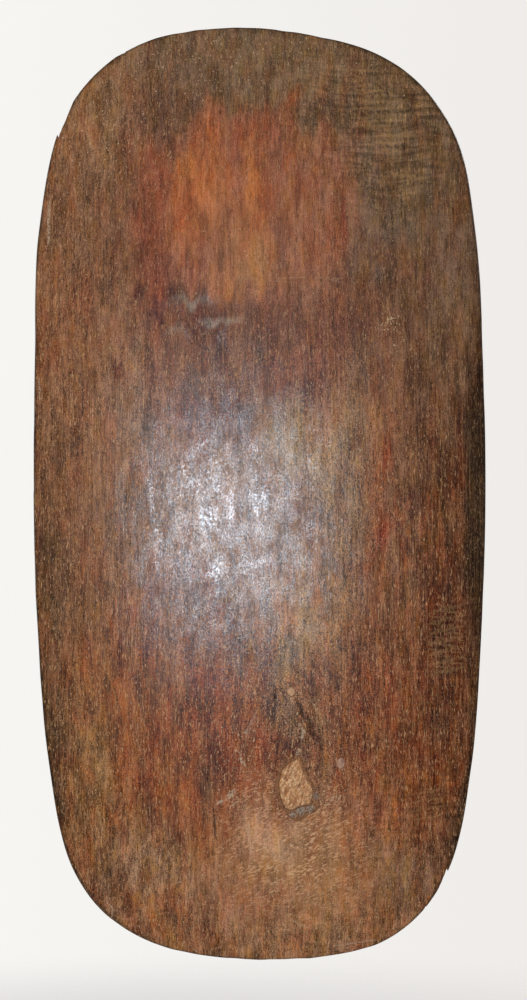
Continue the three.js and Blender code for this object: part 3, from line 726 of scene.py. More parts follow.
def back_relief(x, z):
    """How far the back lies in from its bow: the adze's bites, shallower where the hand and forearm lie, and
    a faint grain."""
    handled = blob(x, z, *WORN_SMOOTH)
    bitten = (ADZE_DEPTH - ADZE_WORN * handled) * adze_bites(x, z)
    return bitten + BACK_GRAIN * noise(x, z, 6, 130, 53) + BACK_LEAST


def crowded(count, middle, width, strength):
    """Places from -1 to 1, closer together round a middle: the running sum of a spacing that dips there."""
    even = np.linspace(-1, 1, FINE_STEPS)
    density = 1 + strength * np.exp(-((even - middle) / width) ** 2)
    run = np.concatenate([[0], np.cumsum((density[1:] + density[:-1]) / 2)])
    return np.interp(np.linspace(0, run[-1], count + 1), run, even)


def mesh_object(name, points, faces):
    """A mesh object from points in millimetres and lists of faces."""
    mesh = bpy.data.meshes.new(name)
    corners = [face for group in faces for face in np.asarray(group).tolist()]
    mesh.from_pydata((np.asarray(points) * MM).tolist(), [], corners)
    mesh.update()
    made = bpy.data.objects.new(name, mesh)
    bpy.context.scene.collection.objects.link(made)
    return made


def grid_faces(index):
    """The squares of a grid of point numbers, anticlockwise as its rows rise and its columns run right."""
    corners = [index[:-1, :-1], index[:-1, 1:], index[1:, 1:], index[1:, :-1]]
    return np.stack([c.ravel() for c in corners], axis=1)


def grid_edge(index):
    """The point numbers round a grid's edge, anticlockwise from its low left corner."""
    return np.concatenate([index[0, :-1], index[:-1, -1], index[-1, :0:-1], index[:0:-1, 0]])


def band(first, second):
    """The squares between two rings, outwards if both run anticlockwise for an eye looking from the first
    towards the second."""
    return np.stack([first, second, np.roll(second, -1), np.roll(first, -1)], axis=1)


def halving_band(first, second):
    """Triangles from a ring to one with half its points."""
    even, odd = first[0::2], first[1::2]
    after, beside = np.roll(even, -1), np.roll(second, -1)
    return [
        np.stack([even, second, odd], axis=1),
        np.stack([odd, second, beside], axis=1),
        np.stack([odd, beside, after], axis=1),
    ]


def lofted(rings):
    """Points and faces of a closed skin over equal rings, each end closed on its middle. The rings run
    anticlockwise for an eye looking from the first towards the last."""
    rings = np.asarray(rings, float)
    levels, sides = rings.shape[:2]
    points = np.concatenate([rings.reshape(-1, 3), [rings[0].mean(axis=0)], [rings[-1].mean(axis=0)]])
    index = np.arange(levels * sides).reshape(levels, sides)
    front, back = np.full(sides, levels * sides), np.full(sides, levels * sides + 1)
    faces = [band(index[i], index[i + 1]) for i in range(levels - 1)]
    faces.append(np.stack([front, index[0], np.roll(index[0], -1)], axis=1))
    faces.append(np.stack([back, np.roll(index[-1], -1), index[-1]], axis=1))
    return points, faces


def joined(skins):
    """Several closed skins as one set of points and faces."""
    points, faces, count = [], [], 0
    for skin_points, skin_faces in skins:
        points.append(skin_points)
        faces.extend(np.asarray(group) + count for group in skin_faces)
        count += len(skin_points)
    return np.concatenate(points), faces


def board_skin():
    """The board before it is cut: a grid for the face, rings round the rim and a coarser grid behind."""
    a = crowded(FACE_COLUMNS, *CROWDING_X)
    b = crowded(FACE_ROWS, *CROWDING_Z)
    grid_a, grid_b = np.meshgrid(a, b)
    index = np.arange(grid_a.size).reshape(grid_a.shape)
    x, z = on_board(grid_a.ravel(), grid_b.ravel(), RIM_RADIUS)
    face_y = bowed_y(x, z) + hewn_fall(x, z) + face_relief(x, z)
    parts = [np.stack([x, face_y, z], axis=1)]
    faces = [grid_faces(index)]

    edge = grid_edge(index)
    edge_a, edge_b = grid_a.ravel()[edge], grid_b.ravel()[edge]
    rings, count = [edge], grid_a.size
    shares = [step / ROUND_STEPS for step in range(1, ROUND_STEPS + 1)]
    steps = [(True, share) for share in shares] + [(False, share) for share in reversed(shares)]
    for onto_face, share in steps:
        turn = share * np.pi / 2
        x, z = on_board(edge_a, edge_b, RIM_RADIUS * (1 - np.sin(turn)))
        front = bowed_y(x, z) + hewn_fall(x, z) + face_relief(x, z)
        rear = back_y(x, z) - back_relief(x, z)
        radius = np.minimum(RIM_RADIUS, ROUNDED_WALL_SHARE * (rear - front))
        rise = radius * (1 - np.cos(turn))
        y = front + rise if onto_face else rear - rise
        parts.append(np.stack([x, y, z], axis=1))
        rings.append(count + np.arange(len(edge)))
        count += len(edge)
    faces.extend(band(first, second) for first, second in zip(rings, rings[1:]))

    back_a, back_b = grid_a[::2, ::2], grid_b[::2, ::2]
    back_index = count + np.arange(back_a.size).reshape(back_a.shape)
    x, z = on_board(back_a.ravel(), back_b.ravel(), RIM_RADIUS)
    parts.append(np.stack([x, back_y(x, z) - back_relief(x, z), z], axis=1))
    faces.extend(halving_band(rings[-1], grid_edge(back_index)))
    faces.append(grid_faces(back_index)[:, ::-1])
    return np.concatenate(parts), faces


# The knife's cuts round a lug: their depth, the least depth, the millimetres round it to a radian, and the
# cuts' width, length and seed.
LUG_CUT, LUG_LEAST, LUG_TURN, LUG_CUT_SIZE = 0.5, 0.15, 24, (15, 22, 61)


def lug_skin(upwards):
    """A lug as a square-shouldered pier that flares into the board. The side that faces the hand is chopped
    flat: every place past that plane is brought back to it, with a softened edge."""
    sides, levels, edge_levels, crowding = 96, 36, 8, 1.4
    root_y = back_y(0, LUG_MIDDLE_Z) - LUG_ROOT_DEPTH
    turn = turns(sides)
    corner_x = np.sign(np.cos(turn)) * np.abs(np.cos(turn)) ** (2 / LUG_CORNER_POWER)
    corner_z = np.sign(np.sin(turn)) * np.abs(np.sin(turn)) ** (2 / LUG_CORNER_POWER)
    rings = []
    shoulder_y = LUG_BACK_Y - LUG_EDGE_RADIUS
    quarter = np.linspace(0, np.pi / 2, edge_levels)[1:]
    heights = [(y, 0.0) for y in root_y + (shoulder_y - root_y) * np.linspace(0, 1, levels) ** crowding]
    heights += [
        (shoulder_y + LUG_EDGE_RADIUS * np.sin(t), LUG_EDGE_RADIUS * (1 - np.cos(t))) for t in quarter
    ]
    for y, trim in heights:
        flare = LUG_FLARE * max(0.0, 1 - (y - root_y) / (LUG_BACK_Y - root_y)) ** LUG_FLARE_POWER
        half_x = LUG_WIDTH / 2 + flare - trim
        half_z = (LUG_THICKNESS + LUG_INNER_FLAT) / 2 + flare - trim
        whittled = LUG_CUT * bowls(turn * LUG_TURN, np.full(sides, y), *LUG_CUT_SIZE) + LUG_LEAST
        x = (half_x - whittled) * corner_x
        z = LUG_MIDDLE_Z - LUG_INNER_FLAT / 2 + (half_z - whittled) * corner_z
        past = z - LUG_INNER_Z - 1
        z = LUG_INNER_Z + (past + np.sqrt(past ** 2 + LUG_CHOP_SOFTNESS)) / 2
        rings.append(np.stack([x, np.full(sides, y), z], axis=1))
    rings = np.array(rings)
    if not upwards:
        rings = rings[:, ::-1] * (1, 1, -1)
    return lofted(rings)


# The knife's flats on a rod, in radii.
ROD_FLAT_WIDTH, ROD_FLAT_LENGTH = 0.62, 3.4


def rod_skin(
    low_radius, high_radius, low, high, end_round, along_x=False, middle_z=0.0, whittle=0.0, seed=70,
):
    """A rod that tapers between two radii, with rounded ends. A knife's flats are cut in by taking shallow
    bowls off its radius, laid out on its unrolled surface."""
    sides, levels, end_levels = 72, 120, 6
    flat_width, flat_length = ROD_FLAT_WIDTH * low_radius, ROD_FLAT_LENGTH * low_radius
    turn = turns(sides)
    quarter = np.linspace(0, np.pi / 2, end_levels)
    ends = [(low + end_round * (1 - np.cos(t)), end_round * (1 - np.sin(t))) for t in quarter]
    middle = [(place, 0.0) for place in np.linspace(low + end_round, high - end_round, levels)[1:-1]]
    ends_high = [(high - (place - low), trim) for place, trim in reversed(ends)]
    rings = []
    for place, trim in ends + middle + ends_high:
        radius = low_radius + (high_radius - low_radius) * (place - low) / (high - low) - trim
        cuts = bowls(turn * low_radius, np.full(sides, place), flat_width, flat_length, seed)
        reach = radius - whittle * cuts
        if along_x:
            ring = [np.full(sides, place), -reach * np.cos(turn), middle_z + reach * np.sin(turn)]
        else:
            ring = [reach * np.cos(turn), -reach * np.sin(turn), np.full(sides, place)]
        rings.append(np.stack(ring, axis=1))
    return lofted(rings)


def hole_skin(low_radius, high_radius, low, high, along_x=False, middle_z=0.0):
    """The rod's hole: the same taper carried past both ends, larger all round by the clearance."""
    growth = (high_radius - low_radius) / (high - low) * CUTTER_OVERRUN
    return rod_skin(
        low_radius + SEAT_CLEARANCE - growth, high_radius + SEAT_CLEARANCE + growth,
        low - CUTTER_OVERRUN, high + CUTTER_OVERRUN, 0.5, along_x, middle_z,
    )


# A peg's radii and ends, and the bar's.
PEG = (PEG_HEAD_RADIUS, PEG_TIP_RADIUS, -PEG_END_X, PEG_END_X)
BAR = (GRIP_LOWER_RADIUS, GRIP_UPPER_RADIUS, -GRIP_END_Z, GRIP_END_Z)


def peg_holes():
    """The holes of the two pegs."""
    return [hole_skin(*PEG, True, middle_z) for middle_z in (LUG_MIDDLE_Z, -LUG_MIDDLE_Z)]


def chip_cutter(start_share, end_share, depth):
    """A thin wedge along the rim, deep at its start, whose inner side is as ragged as split wood."""
    fine, along, levels = 400, 14, 24
    curve = closed_curve(OUTLINE_SHARES, fine) * (HALF_WIDTH, HALF_HEIGHT)
    pick = (np.array([start_share, end_share]) * len(curve)).astype(int)
    start, end = curve[pick[0]], curve[pick[1]]
    outward = start / np.hypot(*start)
    t = np.linspace(0, 1, along)[:, None]
    inner = start - outward * depth + (end - start + outward * depth) * t
    ragged = wander(t[:, 0] * 60, 5, int(depth * 10))[:, None]
    outer = np.array([end + outward * CUTTER_OVERRUN, start + outward * CUTTER_OVERRUN])
    rings = []
    front, back = FACE_MIDDLE_Y - CUTTER_OVERRUN, LUG_BACK_Y + CUTTER_OVERRUN
    for level, y in enumerate(np.linspace(front, back, levels)):
        lean = 0.5 * np.sin(level * 0.9)
        flat = np.concatenate([inner - outward * (ragged * 0.7 + lean) * (1 - t), outer])
        rings.append(np.stack([flat[:, 0], np.full(len(flat), y), flat[:, 1]], axis=1))
    rings = np.array(rings)
    area = np.sum(flat[:, 0] * np.roll(flat[:, 1], -1) - np.roll(flat[:, 0], -1) * flat[:, 1])
    return lofted(rings if area > 0 else rings[:, ::-1])


def groove_cutter(half, depth, line):
    """A V groove along a broken line on the face, tapering to nothing at both ends."""
    t, corners = np.linspace(0, 1, 26), np.linspace(0, 1, len(line))
    x, z = (np.interp(t, corners, places) for places in zip(*line))
    x = x + 0.5 * wander(t * 80, 9, 81)
    run = np.stack([np.gradient(x), np.gradient(z)], axis=1)
    run /= np.hypot(run[:, 0], run[:, 1])[:, None]
    size = 0.12 + 0.88 * np.sin(np.pi * t) ** 0.7
    face = bowed_y(x, z) + hewn_fall(x, z) + face_relief(x, z)
    rings, lift = [], 2.0
    for i, scale in enumerate(size):
        side = np.array([run[i, 1], -run[i, 0]]) * half * scale
        wide = side * (1 + lift / (depth * scale))
        rings.append([
            [x[i] + wide[0], face[i] - lift, z[i] + wide[1]],
            [x[i], face[i] + depth * scale, z[i]],
            [x[i] - wide[0], face[i] - lift, z[i] - wide[1]],
        ])
    return lofted(np.array(rings))


def under_face(x, z, depth):
    """Points that lie a depth under the face's bow."""
    return np.stack([x, bowed_y(x, z) + hewn_fall(x, z) + depth, z], axis=1)


def round_cutter(plug):
    """The hole of a small round piece, from above the face to its depth."""
    turn = turns(32)
    x = plug["place"][0] * HALF_WIDTH + plug["half"][0] * np.cos(turn)
    z = plug["place"][1] * HALF_HEIGHT + plug["half"][1] * np.sin(turn)
    return lofted([under_face(x, z, depth) for depth in (CUTTER_TOP, plug["depth"] / 2, plug["depth"])])


# How far the knot's hole and its heart are torn at their edges, and the seed of the heart's.
HOLE_TEAR, HEART_TEAR, HEART_SEED = 0.5, 0.45, 91


def knot_ring(curve, turn, grown=0.0, rough=0.0, seed=90):
    """One of the knot's outlines, grown by a distance, with a torn edge."""
    reach = reach_at(turn, curve)
    torn = rough * wander((turn + np.pi) * 30, 3.2, seed)
    x = KNOT_X + (KNOT_HALF_WIDTH * reach + grown + torn) * np.cos(turn)
    z = KNOT_Z + (KNOT_HALF_HEIGHT * reach + grown + torn) * np.sin(turn)
    return x, z


def knot_cutter():
    """The knot's hole, torn at its edge."""
    x, z = knot_ring(KNOT_HOLE_CURVE, turns(140) - np.pi, 0, HOLE_TEAR)
    return lofted([under_face(x, z, depth) for depth in (CUTTER_TOP, 2.0, 5.0, KNOT_DEPTH)])


def cut_or_join(piece, skin, operation):
    """Joins a closed skin to a piece, or cuts it away."""
    tool = mesh_object("tool", *skin)
    change = piece.modifiers.new("change", "BOOLEAN")
    change.operation, change.solver, change.object = operation, "MANIFOLD", tool
    changed = bpy.data.meshes.new_from_object(piece.evaluated_get(bpy.context.evaluated_depsgraph_get()))
    piece.modifiers.clear()
    old, piece.data = piece.data, changed
    name = old.name
    bpy.data.meshes.remove(old)
    changed.name = name
    bpy.data.objects.remove(tool)
    return piece


def places_of(piece):
    """A piece's points as columns of X, Y and Z in millimetres."""
    places = np.empty(len(piece.data.vertices) * 3, np.float32)
    piece.data.vertices.foreach_get("co", places)
    return places.reshape(-1, 3).T.astype(float) / MM


def keep_values(piece, name, *columns):
    """Stores values for each point: three of them as a vector, or four as a colour."""
    values = np.column_stack(columns).astype(np.float32)
    kind, field = ("FLOAT_VECTOR", "vector") if len(columns) == 3 else ("FLOAT_COLOR", "color")
    piece.data.attributes.new(name, kind, "POINT").data.foreach_set(field, values.ravel())


def smooth_but_edges(piece, degrees):
    """Smooth shading, with an edge kept sharp where its faces meet at more than an angle."""
    piece.data.shade_smooth()
    piece.data.set_sharp_from_angle(angle=np.radians(degrees))


def finish_piece(piece, material, node, edge):
    """Gives a piece its shading, its material and its body, and hides the solid that it stands for."""
    smooth_but_edges(piece, edge)
    piece.data.materials.clear()
    piece.data.materials.append(material)
    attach(piece, "root")
    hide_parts(node)
    return piece


def rim_painted_shade(x, z):
    """How dark the painted shade along the rim is at each place: one at the outline, fading to nought past
    the reach there."""
    bearings, reaches = zip(*RIM_SHADE_REACH)
    bearing = np.degrees(np.arctan2(z / HALF_HEIGHT, x / HALF_WIDTH))
    reach = np.interp(bearing, bearings, reaches, period=360) * layered(x, z, RIM_SHADE_RAGGED, 1)
    return 1 - ease(RIM_SHADE_FROM, RIM_SHADE_TO, from_rim(x, z) / reach)


# The face gives way to the back between these depths, in millimetres under the bow.
FACE_DEPTHS = (2.6, 4.6)
# How dark the painted shade on the rim gets on the face and on the back. On the face it is darkest under
# these depths.
RIM_SHADE_ON_FACE, RIM_SHADE_ON_BACK, RIM_SHADE_LEAST, RIM_SHADE_DEPTHS = 0.95, 0.7, 0.85, (0.8, 3.2)
# How dark the back is where it is handled, how dark the painted shade is in the deep of the adze's bites and
# between which depths of bite it comes in, and how far handling makes it shine.
HANDLED_DARK, BITE_SHADE, BITE_SHADE_DEPTHS, HANDLED_SHINE = 0.5, 0.3, (0.35, 0.8), 0.4


def paint_board(piece):
    """Stores the board's colour, with painted shade along the rim and in the deep of the back's adze bites,
    and its wear, strokes and grain for its material to read.
    """
    x, y, z = places_of(piece)
    depth = y - bowed_y(x, z) - hewn_fall(x, z)
    fields, cut = stroke_fields(x, z)
    face = 1 - ease(*FACE_DEPTHS, depth - cut)
    rim = rim_painted_shade(x, z)
    flow_x, flow_z = grain_flow(x, z)

    handled = blob(x, z, *HANDLED)
    # The back darkens where it is handled, and painted shade darkens the deep of the adze's bites.
    bitten = ease(*BITE_SHADE_DEPTHS, adze_bites(x, z))
    back = blended(BACK_BROWN, BACK_DARK, HANDLED_DARK * handled + BITE_SHADE * bitten)
    # Painted shade darkens the rim, on the face and on the back.
    edge_shade = rim * (RIM_SHADE_LEAST + (1 - RIM_SHADE_LEAST) * ease(*RIM_SHADE_DEPTHS, depth))
    colour = blended(face_colour(x, z), RIM_SHADE_BROWN, RIM_SHADE_ON_FACE * edge_shade)
    colour = blended(back, colour, face)
    colour = blended(colour, RIM_SHADE_BROWN, RIM_SHADE_ON_BACK * (1 - face) * rim)

    shine = zone(x, z, POLISH) * face + HANDLED_SHINE * handled * (1 - face)
    smooth = BACK_SMOOTH + (zone(x, z, SMOOTH) - zone(x, z, LIVELY) - BACK_SMOOTH) * face
    scuffed, banded, gritty, rippled = (zone(x, z, t) * face for t in (SCUFFS, BANDS, GRITTY, RIPPLES))
    crack, scratch, bare, gouge = (fields[kind] for kind in STROKE_KINDS)
    keep_values(piece, "stain_and_painted_light", *colour.T, np.ones(len(x)))
    keep_values(piece, "wear", shine, burnish(x, z) * face, scuffed)
    keep_values(piece, "ground", banded, smooth, gritty)
    keep_values(piece, "flow", flow_x, y, flow_z)
    keep_values(piece, "lines", crack[0], scratch[0], bare[0])
    keep_values(piece, "line_strengths", crack[1] * face, scratch[1] * face, bare[1] * face)
    keep_values(piece, "gouges", gouge[0], gouge[1] * face, rippled)


# A crack deeper than this is cut as a groove, so much of its width and of its depth.
GROOVE_FROM, GROOVE_WIDTH, GROOVE_DEPTH = 0.5, 0.8, 1.6


def make_board():
    """The whole board, cut and painted."""
    piece = mesh_object("hewn_board", *board_skin())
    cut_or_join(piece, joined([lug_skin(True), lug_skin(False)]), "UNION")
    cut_or_join(piece, hole_skin(*BAR), "DIFFERENCE")
    cutters = [knot_cutter(), round_cutter(SMALL_PLUG), round_cutter(PIN_KNOT)]
    cutters += [chip_cutter(*chip) for chip in RIM_CHIPS] + peg_holes()
    for kind, half, _, depth, line in STROKES:
        if kind == CRACK and depth > GROOVE_FROM:
            cutters.append(groove_cutter(half * GROOVE_WIDTH, depth * GROOVE_DEPTH, line))
    cut_or_join(piece, joined(cutters), "DIFFERENCE")
    paint_board(piece)
    return piece


def disc_skin(outline_at, top_at, bottom_depth, sides=120, rings=34):
    """A closed piece let into the face: rings from a small middle one out to the edge on top, down the side
    and in again underneath. The top's depth is a function of the place and of how far out it is."""
    edge_x, edge_z = outline_at(turns(sides) - np.pi)
    middle_x, middle_z = edge_x.mean(), edge_z.mean()
    layers = []

    def ring_at(out):
        return middle_x + (edge_x - middle_x) * out, middle_z + (edge_z - middle_z) * out

    for out in np.linspace(0.03, 1, rings):
        layers.append(under_face(*ring_at(out), top_at(*ring_at(out), out)))
    rim_depth = top_at(edge_x, edge_z, 1.0)
    for share in (0.25, 0.5, 0.75, 1.0):
        layers.append(under_face(edge_x, edge_z, rim_depth + (bottom_depth - rim_depth) * share))
    layers += [under_face(*ring_at(out), np.full(sides, bottom_depth)) for out in (0.6, 0.2)]
    return lofted(layers)


# The heart's broken fibres, the steps between them, and the bark's crumbs. The grain leans in the knot, by
# this cosine and sine.
HEART_FIBRES, HEART_STEPS = [(0.5, 1.4, 3.4, 92), (0.9, 3.2, 6.5, 93)], [(1, 6, 10, 94)]
BARK_CRUMBS = [(0.7, 2.3, 2.6, 95), (0.5, 5.5, 6.5, 96)]
LEAN_COSINE, LEAN_SINE = 0.88, 0.47
# The pit where the heart has fallen out: place, half sizes and depth.
PIT_X, PIT_Z, PIT_HALF_X, PIT_HALF_Z, PIT_DEPTH = 38, -394, 3.2, 4.0, 2.6


def make_heart():
    """The knot's heart: a torn outline and a face broken into short fibres that stand at many heights. Its
    material reads how deep each place lies, to paint the tops pale and the hollows dark as painted highlight
    and painted shade."""
    def outline_at(turn):
        return knot_ring(KNOT_HEART_CURVE, turn, -0.1, HEART_TEAR, HEART_SEED)

    def top_at(x, z, out):
        across, along = x * LEAN_COSINE - z * LEAN_SINE, x * LEAN_SINE + z * LEAN_COSINE
        fibres = layered(across, along, HEART_FIBRES)
        steps = 1.8 * np.abs(layered(across, along, HEART_STEPS))
        pit = PIT_DEPTH * np.exp(-(((x - PIT_X) / PIT_HALF_X) ** 2 + ((z - PIT_Z) / PIT_HALF_Z) ** 2))
        return np.maximum(HEART_SINK + fibres + steps + pit + 0.6 * ease(0.9, 1.0, out), LEAST_SINK)

    skin = disc_skin(outline_at, top_at, KNOT_DEPTH - SEAT_CLEARANCE, 180, 70)
    piece = mesh_object("knot_heart_wood", *skin)
    x, y, z = places_of(piece)
    deep = ease(0.2, 4.2, y - bowed_y(x, z) - hewn_fall(x, z))
    keep_values(piece, "deep", deep, deep, deep)
    return piece


# Lumps of dried resin on the bark: place, half size and height.
RESIN_LUMPS = [
    (57, -441, 7, 1.9), (70, -438, 6, 1.7), (79, -420, 5.5, 2.2), (80, -408, 4.5, 1.8), (46, -446, 5, 1.2),
    (67, -429, 3.4, 2.4), (27, -432, 4, 1.0), (73, -396, 3.5, 1.2),
]


def resin_at(x, z, widened=1.0):
    """The lumps at each place, as the height of the highest and as the share of the nearest. Each falls off
    as a bell curve."""
    height_there, share_there = np.zeros(len(x)), np.zeros(len(x))
    for at_x, at_z, half, height in RESIN_LUMPS:
        share = np.exp(-((x - at_x) ** 2 + (z - at_z) ** 2) / (widened * half) ** 2)
        height_there = np.maximum(height_there, height * share)
        share_there = np.maximum(share_there, share)
    return height_there, share_there


def make_bark():
    """The bark round the heart: a ring between the two torn outlines, crumbled, with lumps of dried resin."""
    sides, across = 200, 16
    turn = turns(sides) - np.pi
    hole = knot_ring(KNOT_HOLE_CURVE, turn, -SEAT_CLEARANCE, HOLE_TEAR)
    heart = knot_ring(KNOT_HEART_CURVE, turn, SEAT_CLEARANCE, HEART_TEAR, HEART_SEED)
    bottom = KNOT_DEPTH - SEAT_CLEARANCE
    layers = []
    for share in np.linspace(0, 1, across):
        x, z = (inner + (outer - inner) * share for inner, outer in zip(heart, hole))
        crumbs = layered(x, z, BARK_CRUMBS)
        edge = 0.7 * (1 - np.sin(np.pi * np.clip(share, 0.02, 0.98)) ** 0.5)
        layers.append(under_face(x, z, np.clip(BARK_SINK + crumbs - resin_at(x, z)[0] + edge, 0.2, 5)))
    for x, z in (hole, heart):
        layers.append(under_face(x, z, np.full(sides, bottom)))
    rings = np.array(layers)
    index = np.arange(rings.shape[0] * sides).reshape(rings.shape[0], sides)
    faces = [band(index[i], index[(i + 1) % len(index)]) for i in range(len(index))]
    piece = mesh_object("knot_bark_ring", rings.reshape(-1, 3), faces)
    x, _, z = places_of(piece)
    resin = resin_at(x, z, 1.3)[1]
    keep_values(piece, "resin", resin, resin, resin)
    return piece


def make_plug(name, plug, seed):
    """A small round piece let into the face, with a worn, slightly domed top."""
    def outline_at(turn):
        ragged = 1 + 0.05 * wander((turn + np.pi) * 10, 4, seed)
        x = plug["place"][0] * HALF_WIDTH + (plug["half"][0] - SEAT_CLEARANCE) * ragged * np.cos(turn)
        z = plug["place"][1] * HALF_HEIGHT + (plug["half"][1] - SEAT_CLEARANCE) * ragged * np.sin(turn)
        return x, z

    def top_at(x, z, out):
        worn = 0.25 * noise(x, z, 2.2, 5, seed + 1)
        return plug["sink"] + 0.9 + worn + 0.9 * out ** 4

    return mesh_object(name, *disc_skin(outline_at, top_at, plug["depth"] - SEAT_CLEARANCE, 64, 16))


def make_grip():
    """The grip bar, whittled all over and crossed by the holes of its pegs."""
    piece = mesh_object("whittled_grip", *rod_skin(*BAR, GRIP_END_ROUND, whittle=0.7))
    return cut_or_join(piece, joined(peg_holes()), "DIFFERENCE")


def make_peg(name, middle_z, seed):
    """A whittled peg, thicker at its head."""
    return mesh_object(name, *rod_skin(*PEG, PEG_END_ROUND, True, middle_z, 0.45, seed))


# The mix node's sockets by their order: for colours, and for numbers.
MIX_SHARE, MIX_FROM, MIX_TO, MIX_RESULT = 0, 6, 7, 2
MIX_FROM_NUMBER, MIX_TO_NUMBER = 2, 3
# The part of a noise's range that its values mostly keep to.
NOISE_LOW, NOISE_HIGH = 0.25, 0.75


def add(tree, kind, *values, named=None, get=0, **settings):
    """Adds a node to a material. Its inputs come in order, or in a table by name or number, as values or as
    the sockets that feed them. Gives the output asked for, or the node if none is."""
    node = tree.nodes.new("ShaderNode" + kind)
    for name, value in settings.items():
        setattr(node, name, value)
    inputs = dict(enumerate(values))
    inputs.update(named or {})
    for socket, value in inputs.items():
        if isinstance(value, bpy.types.NodeSocket):
            tree.links.new(value, node.inputs[socket])
        else:
            node.inputs[socket].default_value = value
    return node if get is None else node.outputs[get]


def paint(colour):
    """A colour for a socket: an sRGB hex value made linear, while a socket stays as it is."""
    return (*linear(colour), 1.0) if isinstance(colour, str) else colour


def new_material(name):
    """An empty material and its tree."""
    material = bpy.data.materials.new(name)
    material.use_nodes = True
    material.node_tree.nodes.clear()
    return material, material.node_tree


def end_material(tree, inputs):
    """Ends a material with its shader, whose inputs come by name, and its output."""
    add(tree, "OutputMaterial", add(tree, "BsdfPrincipled", named=inputs), get=None)


def place_in_mm(tree):
    """Where a point lies, in millimetres."""
    place = add(tree, "TexCoord", get="Object")
    return add(tree, "VectorMath", place, (1 / MM, 1 / MM, 1 / MM), operation="MULTIPLY")


def grain_noise(tree, coordinates, across, along, detail=2.0, seed=0.0, ragged=0.5):
    """Noise drawn out along the grain, in millimetres. Raggedness is how strong its finer layers are."""
    scale = (1 / across, 1 / across, 1 / along)
    scaled = add(tree, "VectorMath", coordinates, scale, (seed, seed, seed), operation="MULTIPLY_ADD")
    settings = {"Vector": scaled, "Scale": 1.0, "Detail": detail, "Roughness": ragged}
    return add(tree, "TexNoise", named=settings, get="Fac")


# What varies from place to place: the size of its noise across and along the grain in millimetres, the
# noise's detail, seed and raggedness, the two values of the noise that it runs between, and what it is there.
VARYING = {
    "grit": (1.6, 1.9, 1, 29, 0.5, NOISE_LOW, NOISE_HIGH, -1.6, 1.6),
    "clouds": (34, 90, 7, 33, 0.6, NOISE_LOW, NOISE_HIGH, -0.55, 0.55),
    "blade bands": (42, 5.5, 3, 77, 0.5, 0.32, 0.68, 0.45, 1.55),
    "clusters of dashes": (17, 12, 3, 73, 0.6, 0.36, 0.49, 0.0, 1.0),
    "breaks in strokes": (2.6, 3.2, 2, 97, 0.5, 0.4, 0.54, 0.15, 1.0),
    "edges of strokes": (2.5, 6, 1, 91, 0.5, 0.3, 0.7, -0.5, 0.5),
    "glaze": (6, 9, 7, 137, 0.75, 0.36, 0.64, 0.0, 1.0),
    "crystals": (2.1, 2.9, 1.5, 139, 0.6, 0.36, 0.66, 0.15, 0.9),
    "haze": (17, 30, 7, 149, 0.68, 0.38, 0.61, 0.06, 0.5),
    "roughness": (26, 60, 7, 131, 0.66, 0.35, 0.65, 0.4, 0.5),
    "pits in bark": (1.6, 1.6, 2, 12.0, 0.5, 0.57, 0.66, 0.2, 0.8),
}


def varying(tree, coordinates, name, **settings):
    """A measure that varies as its row says."""
    *layer, low, high, least, most = VARYING[name]
    return add(tree, "MapRange", grain_noise(tree, coordinates, *layer), low, high, least, most, **settings)


def lay(tree, colour, tint, layer, low, high, strength, *held, blend="MIX"):
    """Lays a tint over a colour, from nothing where a layer is at one value to its strength at another. Masks
    hold it back."""
    share = add(tree, "MapRange", layer, low, high, 0.0, strength)
    for mask in held:
        share = add(tree, "Math", share, mask, operation="MULTIPLY")
    mixed = {MIX_SHARE: share, MIX_FROM: paint(colour), MIX_TO: paint(tint)}
    return add(tree, "Mix", named=mixed, get=MIX_RESULT, data_type="RGBA", blend_type=blend)


# The layers of the wood's light and dark: each one's size across and along the grain in millimetres, its
# detail, its seed and its strength. The finest real fibres, under half a millimetre, are too fine to show in
# the picture, so the finest layers here are drawn two to three times as coarse.
LIGHT_LAYERS = [
    (1.1, 7, 1, 0.0, 0.5), (1.6, 38, 2, 7.3, 0.5), (1.3, 1.7, 1, 14.6, 1.0), (5, 12, 3, 21.9, 0.4),
    (2.8, 90, 3, 29.2, 0.5),
]
MEAN_LIGHT = 0.3
# The stain is scaled by this to the power of the lightness, which is held under a limit, and pale fibres are
# so many times as bright as the stain.
SHADE_BASE, SHADE_LIMIT, PALE_TIMES = 3.0, 0.25, 2.6
# Drifts of hue, red, ochre, grey and soot: size, tint and strength.
HUE_DRIFTS = [
    (20, 60, "#FFC0A0", 0.45), (12, 32, "#FFF0A8", 0.6), (15, 44, "#BCBCB4", 0.45), (13, 50, "#96847E", 0.5),
]
# Short dark pores, and pale ones where the grease has worn off their lips: size, where they start in the
# noise, strength and tint.
PORES = [
    (1.6, 22, 0.62, 0.15, "#2E2018"), (1.4, 8, 0.63, 0.65, "#CFA67C"), (1.5, 60, 0.6, 0.3, "#B88A60"),
]
# Dashes where growth layers are worn through, pale on their crests and dark between: partly the worn layers'
# own colour, and partly painted highlight on the crests and painted shade between them, over the noise that
# raises them in the bump. They rise to the right.
DASH_TINTS_WITH_PAINTED_LIGHT = [(0.55, 0.6, "#D8AE86", 0.9), (0.46, 0.38, "#5A3820", 0.3)]
DASH_LEAN = np.radians(20)
# Pale flecks: the cells that hold one each, in millimetres, their colour, and how much of it shows.
FLECK_CELL, FLECK_TINT, FLECK_STRENGTH = (15, 15, 18), "#D6BE9C", 0.75
# The share of cells left empty, the least and most of a fleck's size in cells, and how soft its edge is.
CELLS_EMPTY, FLECK_LEAST, FLECK_MOST, FLECK_EDGE = 0.4, -0.01, 0.06, 0.012
# The noise over which a scuff's flecks show, how far scuffing lowers it, and how soft their edge is.
SCUFF_FROM, SCUFF_LOWERS, SCUFF_EDGE = 0.705, 0.1, 0.05
